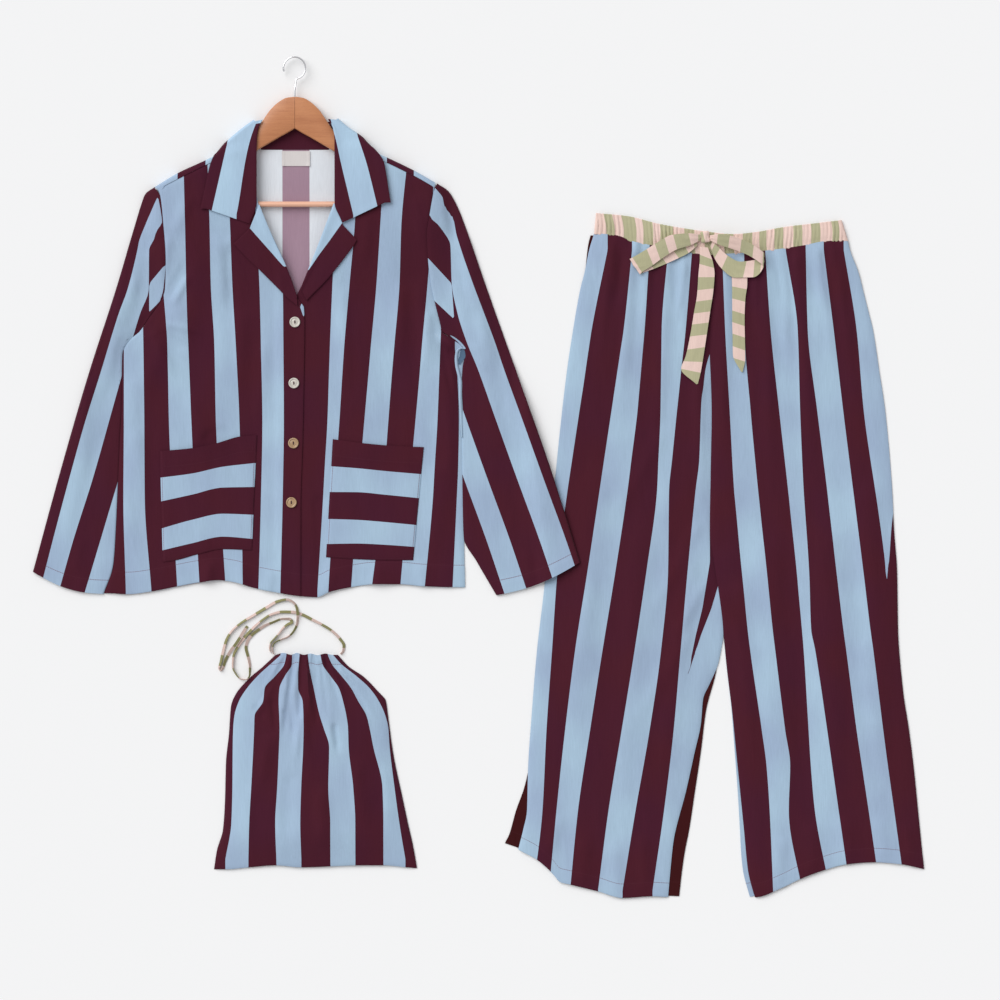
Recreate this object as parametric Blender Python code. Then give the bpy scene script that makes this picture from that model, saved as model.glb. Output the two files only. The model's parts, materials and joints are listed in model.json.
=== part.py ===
"""Striped pyjama set laid flat: shirt on a wooden hanger, tied trousers and a drawstring bag.

The tables below are in millimetres, each garment in its own frame: X across from the middle,
Y up from the hem, Z up from the surface that the set lies on. "Left" and "right" are those of
somebody who looks down at the set with the necks at the top.
"""
import math
from collections import namedtuple

import bmesh
import bpy
import numpy as np

MM = 0.001

# ---------------------------------------------------------------- driving sizes
CLOTH = 1.2             # wall of the pyjama cloth
GAP = 0.3               # room between two layers, and between two pieces at a seam
LAY = 2.4               # underside of an upper layer above the surface, away from its edges
EDGE_DIP = 0.9          # how far an upper layer sinks towards the back at a side seam
CELL = 24.0             # grid step of the large panels

SHIRT_PLACE = (-0.2632, -0.1801)       # the garments' own origins in the set, metres
TROUSERS_PLACE = (0.3488, -0.6301)
BAG_PLACE = (-0.2437, -0.5866)

HANGER_X = -12.0        # the hanger's middle in the shirt's frame
HANGER_LIFT = 3.9       # underside of the hanger
ARM_THICK_MIDDLE = 10.6
ARM_THICK_END = 8.9
ARM_REACH = 196.0
BAR_Y = 589.0
BAR_RADIUS = 4.2
WIRE_RADIUS = 1.6

BUTTON_RADIUS = 8.0
BUTTON_THICK = 2.4
TAPE_RADIUS = 1.6       # half the thickness of the bag's drawstring, as a plain tube
TIE_CLOTH = 1.0

COLOURS = {             # base colour, roughness, metallic
    "blue": ((0.36, 0.50, 0.66), 0.85, 0.0),
    "burgundy": ((0.07, 0.012, 0.022), 0.85, 0.0),
    "tie": ((0.78, 0.62, 0.55), 0.85, 0.0),
    "wood": ((0.55, 0.26, 0.13), 0.45, 0.0),
    "metal": ((0.75, 0.75, 0.77), 0.25, 1.0),
    "pearl": ((0.55, 0.50, 0.45), 0.30, 0.0),
    "label": ((0.62, 0.62, 0.60), 0.80, 0.0),
}

# ---------------------------------------------------------------- tables
At = namedtuple("At", "y x")                # an edge that runs down a garment: x at each height
Over = namedtuple("Over", "x y")            # an edge that runs across a garment
Station = namedtuple("Station", "x y out_x out_y turn")      # a flap from its fold to its free edge
Rim = namedtuple("Rim", "at x y")           # an edge of a sleeve, at = share of its length
Fold = namedtuple("Fold", "x1 y1 x2 y2 width height")        # ridge, or trough if height < 0
Climb = namedtuple("Climb", "out stop")     # where a column of the back ends beside its neck edge
Bar = namedtuple("Bar", "out top bottom")   # hanger arm: distance from the middle, upper and lower line
Ribbon = namedtuple("Ribbon", "ax ay az bx by bz")           # the two edges of a ribbon
Point = namedtuple("Point", "x y z")

BODY_LEFT = [At(6, -286.5), At(43.5, -285), At(100, -282), At(166, -279), At(235, -276),
             At(295, -273), At(340, -273), At(366, -271.5), At(382, -264), At(399, -244.5),
             At(423, -228), At(442, -214.5), At(462, -207), At(505, -205.5), At(560, -210),
             At(606, -214.5), At(616, -216)]
BODY_RIGHT = [At(15, 243), At(85, 241.5), At(220, 240), At(325, 238.5), At(349, 240),
              At(364, 244.5), At(374, 241.5), At(391, 219), At(396, 210), At(406, 207),
              At(441, 198), At(468, 192), At(508, 187.5), At(544, 186), At(576, 190.5),
              At(610, 196.5), At(618, 198)]
BODY_HEM = [Over(-286.5, 6), Over(-264, 4.5), Over(-225, 9), Over(-187, 16.5), Over(-154, 22.5),
            Over(-127, 25.5), Over(-103, 22.5), Over(-72, 13.5), Over(-33, 6), Over(-4, 1.5),
            Over(21, 0), Over(39, 7.5), Over(72, 15), Over(108, 19.5), Over(145, 19.5),
            Over(181, 16.5), Over(223, 15), Over(243, 15)]
SHOULDER_FOLD = [Over(-222, 615), Over(-187, 636), Over(-145, 655.5), Over(-122, 667),
                 Over(-100, 681), Over(-84, 696), Over(-74, 707), Over(-12, 707),
                 Over(50, 707), Over(60, 697), Over(76, 684), Over(100, 671), Over(133, 656),
                 Over(166, 640), Over(201, 620)]
SHOULDER_SEAM = [Over(-222, 608.5), Over(-150, 645), Over(-100, 670.4), Over(-76.5, 682.3),
                 Over(-66, 687.6), Over(-12, 700), Over(42, 692), Over(55.5, 685.4),
                 Over(80, 673.4), Over(123, 652.4), Over(160, 634.3), Over(201, 614.3)]
BACK_NECK_Y = 670.5
BACK_NECK_LEFT = -66.0
BACK_NECK_RIGHT = 42.0

BACK_CLIMB = [Climb(0, 0.35), Climb(4.5, 1), Climb(9, 3), Climb(12, 5), Climb(15, 6)]

FRONT_LEFT_EDGE = [At(0, -4.5), At(99, -2), At(231, -0.5), At(406, 2.5), At(434, 1.5),
                   At(448, -8), At(502, -26.5), At(558, -46), At(592, -67), At(615, -71),
                   At(655, -74), At(684, -76.5)]
FRONT_RIGHT_EDGE = [At(0, -27), At(300, -27), At(430, -26), At(446, -14), At(462, -4.5),
                    At(496, 10), At(559, 28), At(591, 48), At(620, 50), At(686, 54)]
PLACKET_RAISE = CLOTH + GAP     # the left front lies on the right one along the buttons
PLACKET_FROM = -46.0
PLACKET_TO = -31.5

SLEEVE_LEFT_OUTER = [Rim(0, -222, 615), Rim(0.035, -236, 605), Rim(0.07, -242.5, 589),
                     Rim(0.12, -252, 558), Rim(0.25, -278.5, 468), Rim(0.5, -322, 333),
                     Rim(0.75, -365, 185), Rim(1, -405, 38)]
SLEEVE_LEFT_INNER = [Rim(0, -246.5, 401.5), Rim(0.12, -252.5, 398.6), Rim(0.2, -257, 394.8),
                     Rim(0.29, -262.5, 389), Rim(0.36, -269, 381), Rim(0.43, -275, 365),
                     Rim(0.5, -276, 338), Rim(0.57, -276, 290), Rim(0.66, -279.5, 230),
                     Rim(0.75, -282.5, 166), Rim(0.86, -286, 98), Rim(0.94, -289, 50),
                     Rim(1, -299, 6)]
SLEEVE_RIGHT_OUTER = [Rim(0, 201, 620.5), Rim(0.035, 218, 609), Rim(0.07, 232, 585),
                      Rim(0.12, 243.5, 556), Rim(0.25, 274, 468), Rim(0.5, 322, 333),
                      Rim(0.75, 369, 200), Rim(1, 415.5, 52.5)]
SLEEVE_RIGHT_INNER = [Rim(0, 214, 400.5), Rim(0.12, 217.5, 399.1), Rim(0.2, 224, 396),
                      Rim(0.29, 233, 388.4), Rim(0.36, 242, 380), Rim(0.42, 247.5, 366),
                      Rim(0.49, 243.5, 344), Rim(0.57, 241, 300), Rim(0.68, 242, 222),
                      Rim(0.78, 243, 140), Rim(0.86, 244, 90), Rim(0.93, 263, 51),
                      Rim(1, 290, 3)]
CUFF_DROP_LEFT = 9.0    # the cuff's middle below the straight line between its corners
CUFF_DROP_RIGHT = 8.0

WING_LEFT = [Station(-79.5, 559.5, -153, 582, 0), Station(-69, 591, -148.5, 601.5, 0),
             Station(-69, 618, -144, 623, 0), Station(-69, 642, -140, 642, 0),
             Station(-69, 664, -133, 661, 0), Station(-68.5, 686, -112.5, 680, 1),
             Station(-68, 702, -87, 701.5, 1), Station(-68, 713, -74, 712.5, 1)]
WING_RIGHT = [Station(60, 561, 132, 591, 0), Station(48, 591, 129, 609, 0),
              Station(48, 618, 125.5, 632, 0), Station(48, 644, 121, 653, 0),
              Station(48, 666, 108, 671, 0), Station(48, 686, 84, 689.5, 1),
              Station(48, 702, 64, 703, 1), Station(48, 713, 52, 713, 1)]
LAPEL_LEFT = [Station(-64, 587.5, -103.5, 529.5, 0), Station(-56, 574, -95.5, 521, 0),
              Station(-46, 557, -84, 509, 0), Station(-36, 529, -62, 488, 0),
              Station(-26.5, 501.5, -41, 467, 0), Station(-16, 472, -22, 448, 0),
              Station(-9, 450, -8, 437, 0)]
LAPEL_RIGHT = [Station(47, 590.5, 81, 535.5, 0), Station(38, 575, 74.5, 524.5, 0),
               Station(28, 558, 66, 513, 0), Station(19, 527, 47, 489, 0),
               Station(10, 496, 31, 471, 0), Station(1.5, 474, 14, 454, 0),
               Station(-3, 463, 5.5, 445, 0)]
LAPEL_LEFT_NOTCH = Over(-78.3, 553)     # two thirds along the lapel's first row
LAPEL_RIGHT_NOTCH = Over(60.5, 557)

COLLAR_ROLL = [         # the back of the collar, from the neck seam over the roll to its free edge
    Point(0, BACK_NECK_Y + 0.4, 2.1), Point(0, 685, 2.1), Point(0, 700, 2.1), Point(0, 710, 2.5),
    Point(0, 715.5, 2.7), Point(0, 717.6, 1.7), Point(0, 715.5, 0.7), Point(0, 708, 0.6),
    Point(0, 690, 0.6), Point(0, 668, 0.6), Point(0, 652, 0.6)]
COLLAR_LEFT_END = [-63, -66, -67.5, -73, -76, -77, -76, -82, -104, -128, -138]
COLLAR_RIGHT_END = [39, 42, 43.5, 50, 55, 56, 55, 60, 78, 102, 112]
COLLAR_UNDER = CLOTH + GAP      # the back is lifted by this where the collar lies beneath it

POCKET_LEFT = {
    "left": [At(50, -210), At(220, -214.5)], "right": [At(68, -76.5), At(244, -69)],
    "top": [Over(-215, 219), Over(-166, 223.5), Over(-129, 231), Over(-94, 241), Over(-69, 243)],
    "hem": [Over(-210, 52.5), Over(-190, 55.5), Over(-157, 64.5), Over(-120, 72), Over(-76, 70.5)]}
POCKET_RIGHT = {
    "left": [At(58, 34.5), At(240, 45)], "right": [At(52, 165), At(228, 181.5)],
    "top": [Over(44, 237), Over(90, 231), Over(135, 227), Over(182, 225)],
    "hem": [Over(34, 60), Over(80, 57), Over(125, 55.5), Over(166, 55.5)]}

BUTTONS = [Over(-12, 412.5), Over(-13.5, 321), Over(-14.2, 231), Over(-17.2, 142)]

SHIRT_FOLDS = [
    Fold(-150, 560, -183, 340, 20, 3.0), Fold(-196, 440, -236, 300, 16, 3.5),
    Fold(-110, 420, -150, 200, 26, 2.2), Fold(-205, 470, -170, 380, 14, 2.4),
    Fold(120, 560, 150, 330, 22, 2.6), Fold(172, 470, 205, 300, 15, 3.5),
    Fold(70, 420, 95, 180, 26, 2.0), Fold(215, 350, 222, 120, 13, 2.8),
    Fold(-255, 330, -262, 60, 15, 2.4), Fold(-150, 48, -128, 8, 14, 2.6),
    Fold(132, 40, 120, 8, 16, 2.4), Fold(46, 44, 36, 6, 12, 2.4),
    Fold(-262, 540, -300, 300, 13, 4.0), Fold(-300, 430, -350, 120, 18, 3.2),
    Fold(-240, 520, -276, 400, 11, 3.0), Fold(238, 540, 290, 330, 13, 4.0),
    Fold(262, 400, 300, 180, 17, 3.2), Fold(320, 300, 372, 80, 20, 3.0),
    Fold(230, 470, 262, 350, 12, 3.0)]

ARM = [Bar(0.2, 750, 702), Bar(12, 748.5, 695), Bar(24, 742, 688.5), Bar(36, 731, 681.5),
       Bar(48, 714, 674.5), Bar(58, 699, 668.5), Bar(72, 683, 660), Bar(90, 668, 648),
       Bar(112, 656, 633), Bar(135, 645, 618), Bar(158, 633, 606), Bar(175.9, 623, 597),
       Bar(176.2, 622.8, 581), Bar(188, 614, 577), Bar(196, 602, 584)]

TROUSERS_LEFT_OUTER = [At(0, -303), At(36, -296), At(70, -289.5), At(100, -282), At(130, -276),
                       At(190, -274.5), At(280, -268.5), At(370, -261), At(460, -250.5),
                       At(610, -235.5), At(700, -226.5), At(790, -216), At(850, -207),
                       At(910, -196.5), At(940, -189), At(970, -183), At(995, -175.5)]
TROUSERS_LEFT_INNER = [At(0, -60), At(40, -60), At(70, -57), At(100, -49.5), At(160, -37.5),
                       At(220, -24), At(280, -13.5), At(340, 4), At(370, 11), At(400, 14),
                       At(460, 5), At(505, 0.5), At(550, -3.6), At(633, -2.1), At(730, -0.6),
                       At(817, -3.6), At(965, -9)]
TROUSERS_RIGHT_INNER = [At(0, 66), At(9, 63), At(40, 55.5), At(100, 49.5), At(160, 43.5),
                        At(220, 37.5), At(280, 31.5), At(340, 24), At(400, 18), At(460, 11),
                        At(505, 4), At(550, -2.2), At(633, -0.9), At(730, 0.6), At(817, -2.4),
                        At(965, -7.8)]
TROUSERS_RIGHT_OUTER = [At(42, 319.5), At(70, 316.5), At(130, 310.5), At(190, 304.5),
                        At(250, 297), At(310, 288), At(400, 280.5), At(490, 279), At(550, 274.5),
                        At(610, 271.5), At(670, 267), At(730, 261), At(790, 252), At(850, 243),
                        At(880, 235.5), At(910, 228), At(940, 220), At(970, 208.5), At(986, 205)]
TROUSERS_LEFT_HEM = [Over(-303, 84), Over(-289.5, 72), Over(-262, 57), Over(-238, 36),
                     Over(-226, 22.5), Over(-213, 19.5), Over(-170, 9), Over(-132, -1),
                     Over(-88, 1.5), Over(-60, 0)]
TROUSERS_RIGHT_HEM = [Over(60, 0), Over(66, 0), Over(105, 13.5), Over(133, 27), Over(169, 40.5),
                      Over(204, 49.5), Over(246, 52.5), Over(285, 49.5), Over(320, 42)]
BACK_LEFT_OUTER = [At(60, -313), At(81, -309), At(93, -303), At(130, -292.5), At(175, -279),
                   At(220, -271.5), At(280, -268.5), At(370, -261), At(460, -250.5),
                   At(610, -235.5), At(700, -226.5), At(790, -216), At(850, -207),
                   At(910, -196.5), At(940, -190), At(970, -186), At(995, -180)]
BACK_LEFT_INNER = [At(0, -48), At(40, -43.5), At(70, -39), At(100, -33), At(160, -24),
                   At(220, -15), At(280, -7.5), At(340, 8), At(370, 12), At(400, 14.5),
                   At(460, 5.5), At(505, 0.5), At(550, -3.6), At(633, -2.1), At(730, -0.6),
                   At(817, -3.6), At(965, -9)]
BACK_RIGHT_INNER = [At(0, 58.5), At(10, 55.5), At(40, 48), At(70, 45), At(100, 43.5),
                    At(160, 40), At(220, 35.5), At(280, 31), At(340, 24), At(400, 18),
                    At(460, 11), At(505, 4), At(550, -2.2), At(633, -0.9), At(730, 0.6),
                    At(817, -2.4), At(965, -7.8)]
BACK_LEFT_HEM = [Over(-309, 81), Over(-289, 74), Over(-262, 60), Over(-226, 26), Over(-170, 12),
                 Over(-132, 3), Over(-88, 3), Over(-60, 2), Over(-46, 1.5)]
BACK_RIGHT_HEM = [Over(55, 0), Over(70, 3), Over(105, 16), Over(133, 30), Over(169, 43),
                  Over(204, 52), Over(246, 55), Over(285, 52), Over(320, 44)]
WAIST_LOWER = [Over(-176, 994.5), Over(-141, 991), Over(-120, 983), Over(-88, 976),
               Over(-31, 965), Over(-9, 962.5), Over(33, 964), Over(75, 967.5), Over(112, 972),
               Over(141, 976.5), Over(168, 982), Over(206, 984)]
WAIST_UPPER = [Over(-173, 1026), Over(-126, 1021.5), Over(-79, 1010), Over(-43, 1003.5),
               Over(-12, 999), Over(33, 994.5), Over(67, 997.5), Over(109, 1005),
               Over(159, 1011), Over(196, 1015.5)]
BAND_LEFT_TOP, BAND_LEFT_LOW = -172.5, -175.5
BAND_RIGHT_TOP, BAND_RIGHT_LOW = 196.0, 205.5
BAND_HEIGHT = 5.6       # the waistband's own thickness, front and back together
BAND_GATHERS = 22
BAND_GATHER_DEPTH = 1.1

TROUSERS_FOLDS = [
    Fold(-150, 985, -170, 760, 9, 2.8), Fold(-118, 980, -140, 700, 10, 3.2),
    Fold(-96, 972, -104, 800, 8, 2.6), Fold(-66, 968, -84, 640, 11, 3.2),
    Fold(-40, 960, -40, 780, 8, 2.6), Fold(-22, 955, -16, 560, 9, 3.0),
    Fold(22, 955, 18, 640, 9, 2.8), Fold(48, 960, 50, 760, 8, 2.6),
    Fold(80, 962, 92, 600, 11, 3.4), Fold(104, 968, 118, 780, 8, 2.8),
    Fold(132, 972, 150, 640, 10, 3.2), Fold(160, 978, 186, 760, 9, 2.8),
    Fold(184, 978, 212, 800, 8, 2.4), Fold(-170, 640, -215, 160, 26, 4.2),
    Fold(-104, 560, -140, 90, 24, 4.0), Fold(-30, 520, -78, 120, 18, 3.6),
    Fold(84, 540, 112, 100, 22, 4.0), Fold(168, 560, 190, 120, 26, 4.4),
    Fold(232, 620, 262, 160, 18, 3.6), Fold(40, 470, 70, 150, 13, 2.8)]

KNOT = Point(-9, 990, 11.0)
TIE_LOOP_LEFT = [
    Ribbon(-16, 993, 11.5, -17, 985, 10.5), Ribbon(-34, 995, 16, -30, 978, 13),
    Ribbon(-58, 993, 17, -52, 971, 14), Ribbon(-80, 982, 16, -72, 959, 13.5),
    Ribbon(-100, 969.5, 14, -90, 946, 12.4), Ribbon(-118, 959, 11.8, -104, 937, 11.4),
    Ribbon(-122, 957, 10.4, -106.5, 934, 10.2), Ribbon(-118, 957, 9.0, -103, 936, 9.0),
    Ribbon(-98, 965, 8.9, -84, 943, 8.9), Ribbon(-72, 976, 8.9, -56, 955, 8.9),
    Ribbon(-44, 986, 8.9, -34, 966, 8.9), Ribbon(-22, 990, 9.2, -21, 977, 9.0)]
TIE_LOOP_RIGHT = [
    Ribbon(-2, 992, 12, -2, 985, 10.5), Ribbon(14, 994, 20, 12, 978, 14),
    Ribbon(36, 989, 22.5, 34, 971, 15), Ribbon(58, 980, 21.5, 56, 962, 15.5),
    Ribbon(72.5, 970.5, 20, 71.5, 952, 16.6), Ribbon(78.5, 965.5, 17.2, 77.8, 946, 14.4),
    Ribbon(77, 960, 13.8, 75.5, 939.5, 12), Ribbon(65, 955.5, 11.3, 63, 929.5, 11),
    Ribbon(44, 953, 10.8, 36, 929, 10.6), Ribbon(26, 961, 10.4, 17, 941, 10.2),
    Ribbon(12, 974, 9.6, 4, 960, 9.4), Ribbon(2, 984, 9.2, -1, 976, 9.0)]
TIE_TAIL_LEFT = [
    Ribbon(-17, 975.5, 9.0, -5, 974, 9.0), Ribbon(-17, 958, 8.9, 3, 950, 8.9),
    Ribbon(-19, 935, 8.6, 5, 934, 8.6), Ribbon(-21, 905, 8.0, 3, 908, 8.0),
    Ribbon(-26, 875, 7.6, -1.5, 878, 7.6), Ribbon(-31, 845, 7.5, -6, 848, 7.4),
    Ribbon(-38, 812, 7.3, -11, 815, 7.3), Ribbon(-45, 792, 7.2, -16, 786, 7.2),
    Ribbon(-22, 769.5, 7.1, -20, 770, 7.1)]
TIE_TAIL_RIGHT = [
    Ribbon(30, 948, 8.7, 54, 936, 8.7), Ribbon(31, 925, 8.4, 54, 920, 8.4),
    Ribbon(31.5, 900, 8.0, 51, 895, 7.9), Ribbon(31.5, 872, 7.5, 50, 866, 7.4),
    Ribbon(32, 842, 7.2, 50.5, 836, 7.2), Ribbon(32.5, 814, 7.0, 51, 808, 7.1),
    Ribbon(45, 788, 6.9, 47, 787.5, 6.9)]

BAG_LEFT = [At(-2, -153), At(27, -148.5), At(58, -139.5), At(102, -136.5), At(159, -135),
            At(202, -130.5), At(243, -127.5), At(260, -121), At(284, -101), At(302, -80),
            At(322, -58.5)]
BAG_RIGHT = [At(0, 151.5), At(34, 145.5), At(67, 138), At(102, 130.5), At(174, 115.5),
             At(229, 108), At(252, 104.5), At(263, 95), At(288, 70.5), At(302, 49.5), At(321, 32)]
BAG_HEM = [Over(-153, -1.5), Over(-136, -1.5), Over(-100, 1.5), Over(-60, 4.5), Over(-22, 1.5),
           Over(24, 3), Over(61, 4.5), Over(102, 4.5), Over(135, 1.5), Over(152, 0)]
BAG_TOP = [Over(-60, 320), Over(-49, 323), Over(-37, 320), Over(-29, 323), Over(-18, 320),
           Over(-8, 322), Over(2, 319.5), Over(14, 322), Over(24, 320), Over(34, 320)]
BAG_PUFF = 9.0
BAG_FOLDS = [
    Fold(-50, 322, -96, 210, 6, 2.6), Fold(-38, 322, -62, 170, 7, 3.0),
    Fold(-26, 322, -40, 220, 5, 2.4), Fold(-16, 322, -16, 150, 7, 3.0),
    Fold(-5, 322, 2, 210, 5, 2.4), Fold(6, 322, 26, 160, 7, 3.0),
    Fold(17, 322, 48, 220, 5, 2.4), Fold(27, 322, 86, 200, 6, 2.6)]

DRAWSTRING_LONG = [     # out of the channel's left end, over the top, back on itself to its free end
    Point(-63.5, 321, 2.6), Point(-65.3, 327, 2.0), Point(-64.5, 334, 1.8), Point(-60, 339.5, 1.8),
    Point(-52, 343, 1.8), Point(-42, 347, 1.8), Point(-33, 356, 1.9), Point(-28, 368, 2.6), Point(-27, 378, 6.6),
    Point(-28, 388, 5.0), Point(-33, 398, 1.9), Point(-44, 403, 1.8), Point(-58, 400, 1.8),
    Point(-74, 391, 1.8), Point(-94, 379, 1.8), Point(-112, 368, 1.8), Point(-126, 356, 1.8),
    Point(-134, 343, 1.8), Point(-139, 326, 1.8), Point(-143, 308, 1.8), Point(-145.6, 300, 1.8),
    Point(-143.2, 296.4, 1.8), Point(-140, 299.4, 1.8), Point(-136, 311, 1.8), Point(-128, 326, 3.0), Point(-121, 335, 6.2),
    Point(-115, 344, 6.4), Point(-109, 354, 3.2), Point(-103, 363, 1.8)]
DRAWSTRING_LOOP = [     # from the channel's right end, over the top to a small loop, back to the left
    Point(37, 321, 2.6), Point(41, 326, 2.0), Point(42, 334, 1.8), Point(36, 344, 1.8),
    Point(24, 356, 1.8), Point(8, 366, 1.8), Point(-8, 374, 1.8), Point(-20, 380, 1.8),
    Point(-34, 384, 1.8), Point(-50, 384.5, 1.8), Point(-66, 381, 1.8), Point(-78, 374, 1.8),
    Point(-89, 365, 1.8), Point(-102, 352, 1.8), Point(-112, 340, 1.8), Point(-119, 329, 1.8),
    Point(-124, 317, 1.8), Point(-125, 303, 1.8), Point(-120, 291, 1.9), Point(-112, 283.5, 2.6),
    Point(-104, 283, 7.0), Point(-99, 291, 6.6), Point(-99, 303, 2.6), Point(-102, 318, 1.8),
    Point(-105, 331, 1.9), Point(-102, 342, 2.4), Point(-96, 350, 2.6), Point(-87, 357, 1.9),
    Point(-76, 364, 1.8), Point(-64, 369, 1.8), Point(-50, 374, 1.8), Point(-40, 374, 1.9),
    Point(-36, 369, 2.0), Point(-42, 366, 1.8), Point(-49.5, 360, 1.8), Point(-56.5, 351, 1.8),
    Point(-63, 343.8, 1.8), Point(-68.3, 337.5, 1.8), Point(-69.8, 330, 2.0), Point(-68, 324, 2.6)]


# ---------------------------------------------------------------- curves and heights
class Smooth:
    """A smooth curve through table values that never overshoots them."""

    def __init__(self, at, value):
        self.at = np.array(at, float)
        self.value = np.array(value, float)
        rise = np.diff(self.value) / np.diff(self.at)
        slope = np.zeros(len(at))
        for i in range(1, len(at) - 1):
            if rise[i - 1] * rise[i] > 0:
                slope[i] = 2 * rise[i - 1] * rise[i] / (rise[i - 1] + rise[i])
        slope[0], slope[-1] = rise[0], rise[-1]
        self.slope = slope

    def __call__(self, t):
        t = min(max(t, self.at[0]), self.at[-1])
        i = min(int(np.searchsorted(self.at, t, side="right")) - 1, len(self.at) - 2)
        span = self.at[i + 1] - self.at[i]
        s = (t - self.at[i]) / span
        return ((1 + 2 * s) * (1 - s) ** 2 * self.value[i] + s * (1 - s) ** 2 * span * self.slope[i]
                + s * s * (3 - 2 * s) * self.value[i + 1] + s * s * (s - 1) * span * self.slope[i + 1])


def down(rows):
    """x as a function of y."""
    return Smooth([r.y for r in rows], [r.x for r in rows])


def across(rows):
    """y as a function of x."""
    return Smooth([r.x for r in rows], [r.y for r in rows])


def ease(t):
    """0 to 1 with no corner at either end."""
    t = min(max(t, 0.0), 1.0)
    return t * t * (3 - 2 * t)


def fold_height(x, y, folds):
    """The sum of the soft ridges and troughs at a point."""
    total = 0.0
    for f in folds:
        dx, dy = f.x2 - f.x1, f.y2 - f.y1
        length = math.hypot(dx, dy)
        along = ((x - f.x1) * dx + (y - f.y1) * dy) / length
        if -f.width < along < length + f.width:
            aside = ((x - f.x1) * dy - (y - f.y1) * dx) / length
            ends = ease((along + f.width) / (2.5 * f.width)) * ease((length + f.width - along) / (0.5 * length))
            total += f.height * ends * math.exp(-(aside / f.width) ** 2)
    return total


def arm_top(out):
    """The hanger's upper side above the surface, at a distance from its middle."""
    return HANGER_LIFT + ARM_THICK_MIDDLE + (ARM_THICK_END - ARM_THICK_MIDDLE) * min(out / ARM_REACH, 1)


def hanger_cover(x, y):
    """How much of the hanger's height the cloth over it takes on."""
    out = abs(x - HANGER_X)
    return ease((241 - out) / 42) * ease((y - 430) / (BAR_Y - 10 - 430))


def shirt_top(x, y):
    """The upper face of the shirt's upper layer."""
    flat = LAY + CLOTH + fold_height(x, y, SHIRT_FOLDS)
    over = arm_top(abs(x - HANGER_X)) + GAP + CLOTH
    return flat + max(over - flat, 0) * hanger_cover(x, y)


def trousers_top(x, y):
    """The upper face of the trousers' upper layer."""
    near_band = ease((y - 900) / 60)
    return LAY + CLOTH + 1.2 * near_band + fold_height(x, y, TROUSERS_FOLDS)


left_of_body, right_of_body = down(BODY_LEFT), down(BODY_RIGHT)
shoulder_fold, shoulder_seam = across(SHOULDER_FOLD), across(SHOULDER_SEAM)
body_hem = across(BODY_HEM)


def front_head(x):
    """Upper edge of the fronts: the seam that the back comes forward to."""
    return min(shoulder_seam(x), shoulder_fold(x) - 8.4)


def under_collar(x, y):
    """1 where the back lies on the collar's hidden half, 0 away from it."""
    middle = 0.5 * (BACK_NECK_LEFT + BACK_NECK_RIGHT)
    return ease((215 - abs(x - middle)) / 60) * ease((y - 590) / 44)


# ---------------------------------------------------------------- meshes
def steps(low, high, step=CELL, least=2):
    """Evenly spaced values with about the given step."""
    return np.linspace(low, high, max(least, int(round(abs(high - low) / step))) + 1)


def panel_grid(columns, row_shares, left, right, hem, top):
    """Plan points of a panel: each column climbs from the hem to the top edge."""
    grid = []
    for share in row_shares:
        row = []
        for u in columns:
            foot_y = hem(left(0) + (right(0) - left(0)) * u)
            head_y = top(left(2000) + (right(2000) - left(2000)) * u)
            for _ in range(6):
                foot_y = hem(left(foot_y) + (right(foot_y) - left(foot_y)) * u)
                head_y = top(left(head_y) + (right(head_y) - left(head_y)) * u)
            y = foot_y + (head_y - foot_y) * share
            row.append((left(y) + (right(y) - left(y)) * u, y))
        grid.append(row)
    return grid


def closed_wall(upper, lower, ring=False, mirror=None):
    """One closed body between two matching grids; ring joins the last column to the first.

    Both faces of the wall take the same diagonal. From column mirror on it is the other one, so
    that the two layers of a flat tube match as well.
    """
    rows, columns = len(upper), len(upper[0])
    verts = [tuple(p) for row in upper for p in row] + [tuple(p) for row in lower for p in row]
    size = rows * columns
    faces = []

    def quad(a, b, c, d):
        faces.append((a, b, c))
        faces.append((a, c, d))

    last = columns if ring else columns - 1
    for i in range(rows - 1):
        for j in range(last):
            k = (j + 1) % columns
            a, b, c, d = i * columns + j, i * columns + k, (i + 1) * columns + k, (i + 1) * columns + j
            if mirror is not None and j >= mirror:
                a, b, c, d = b, c, d, a
            quad(a, b, c, d)
            faces.append((size + a, size + c, size + b))
            faces.append((size + a, size + d, size + c))
    for j in range(last):
        k = (j + 1) % columns
        end = (rows - 1) * columns
        quad(size + j, size + k, k, j)
        quad(end + j, end + k, size + end + k, size + end + j)
    if not ring:
        for i in range(rows - 1):
            a, b = i * columns, (i + 1) * columns
            quad(a, b, size + b, size + a)
            a, b = i * columns + columns - 1, (i + 1) * columns + columns - 1
            quad(size + a, size + b, b, a)
    return verts, faces


def normals(grid, ring=False):
    """Unit normals of a grid of points."""
    p = np.array(grid, float)
    if ring:
        du = np.roll(p, -1, axis=1) - np.roll(p, 1, axis=1)
    else:
        du = np.gradient(p, axis=1)
    dv = np.gradient(p, axis=0)
    n = np.cross(du, dv)
    return n / np.maximum(np.linalg.norm(n, axis=2, keepdims=True), 1e-9)


def lying_wall(top, thickness=CLOTH):
    """A wall straight down from the points of its upper face."""
    return closed_wall(top, [[(x, y, z - thickness) for x, y, z in row] for row in top])


def middle_wall(grid, thickness, ring=False):
    """A wall of even thickness on both sides of a middle surface."""
    p, n = np.array(grid, float), normals(grid, ring)
    return closed_wall((p + n * thickness / 2).tolist(), (p - n * thickness / 2).tolist(), ring)


def material(name, kind):
    """A Principled BSDF material of one of the named finishes."""
    colour, roughness, metallic = COLOURS[kind]
    made = bpy.data.materials.new(name + "_finish")
    made.use_nodes = True
    shader = made.node_tree.nodes["Principled BSDF"]
    shader.inputs["Base Color"].default_value = (*colour, 1)
    shader.inputs["Roughness"].default_value = roughness
    shader.inputs["Metallic"].default_value = metallic
    return made


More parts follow.
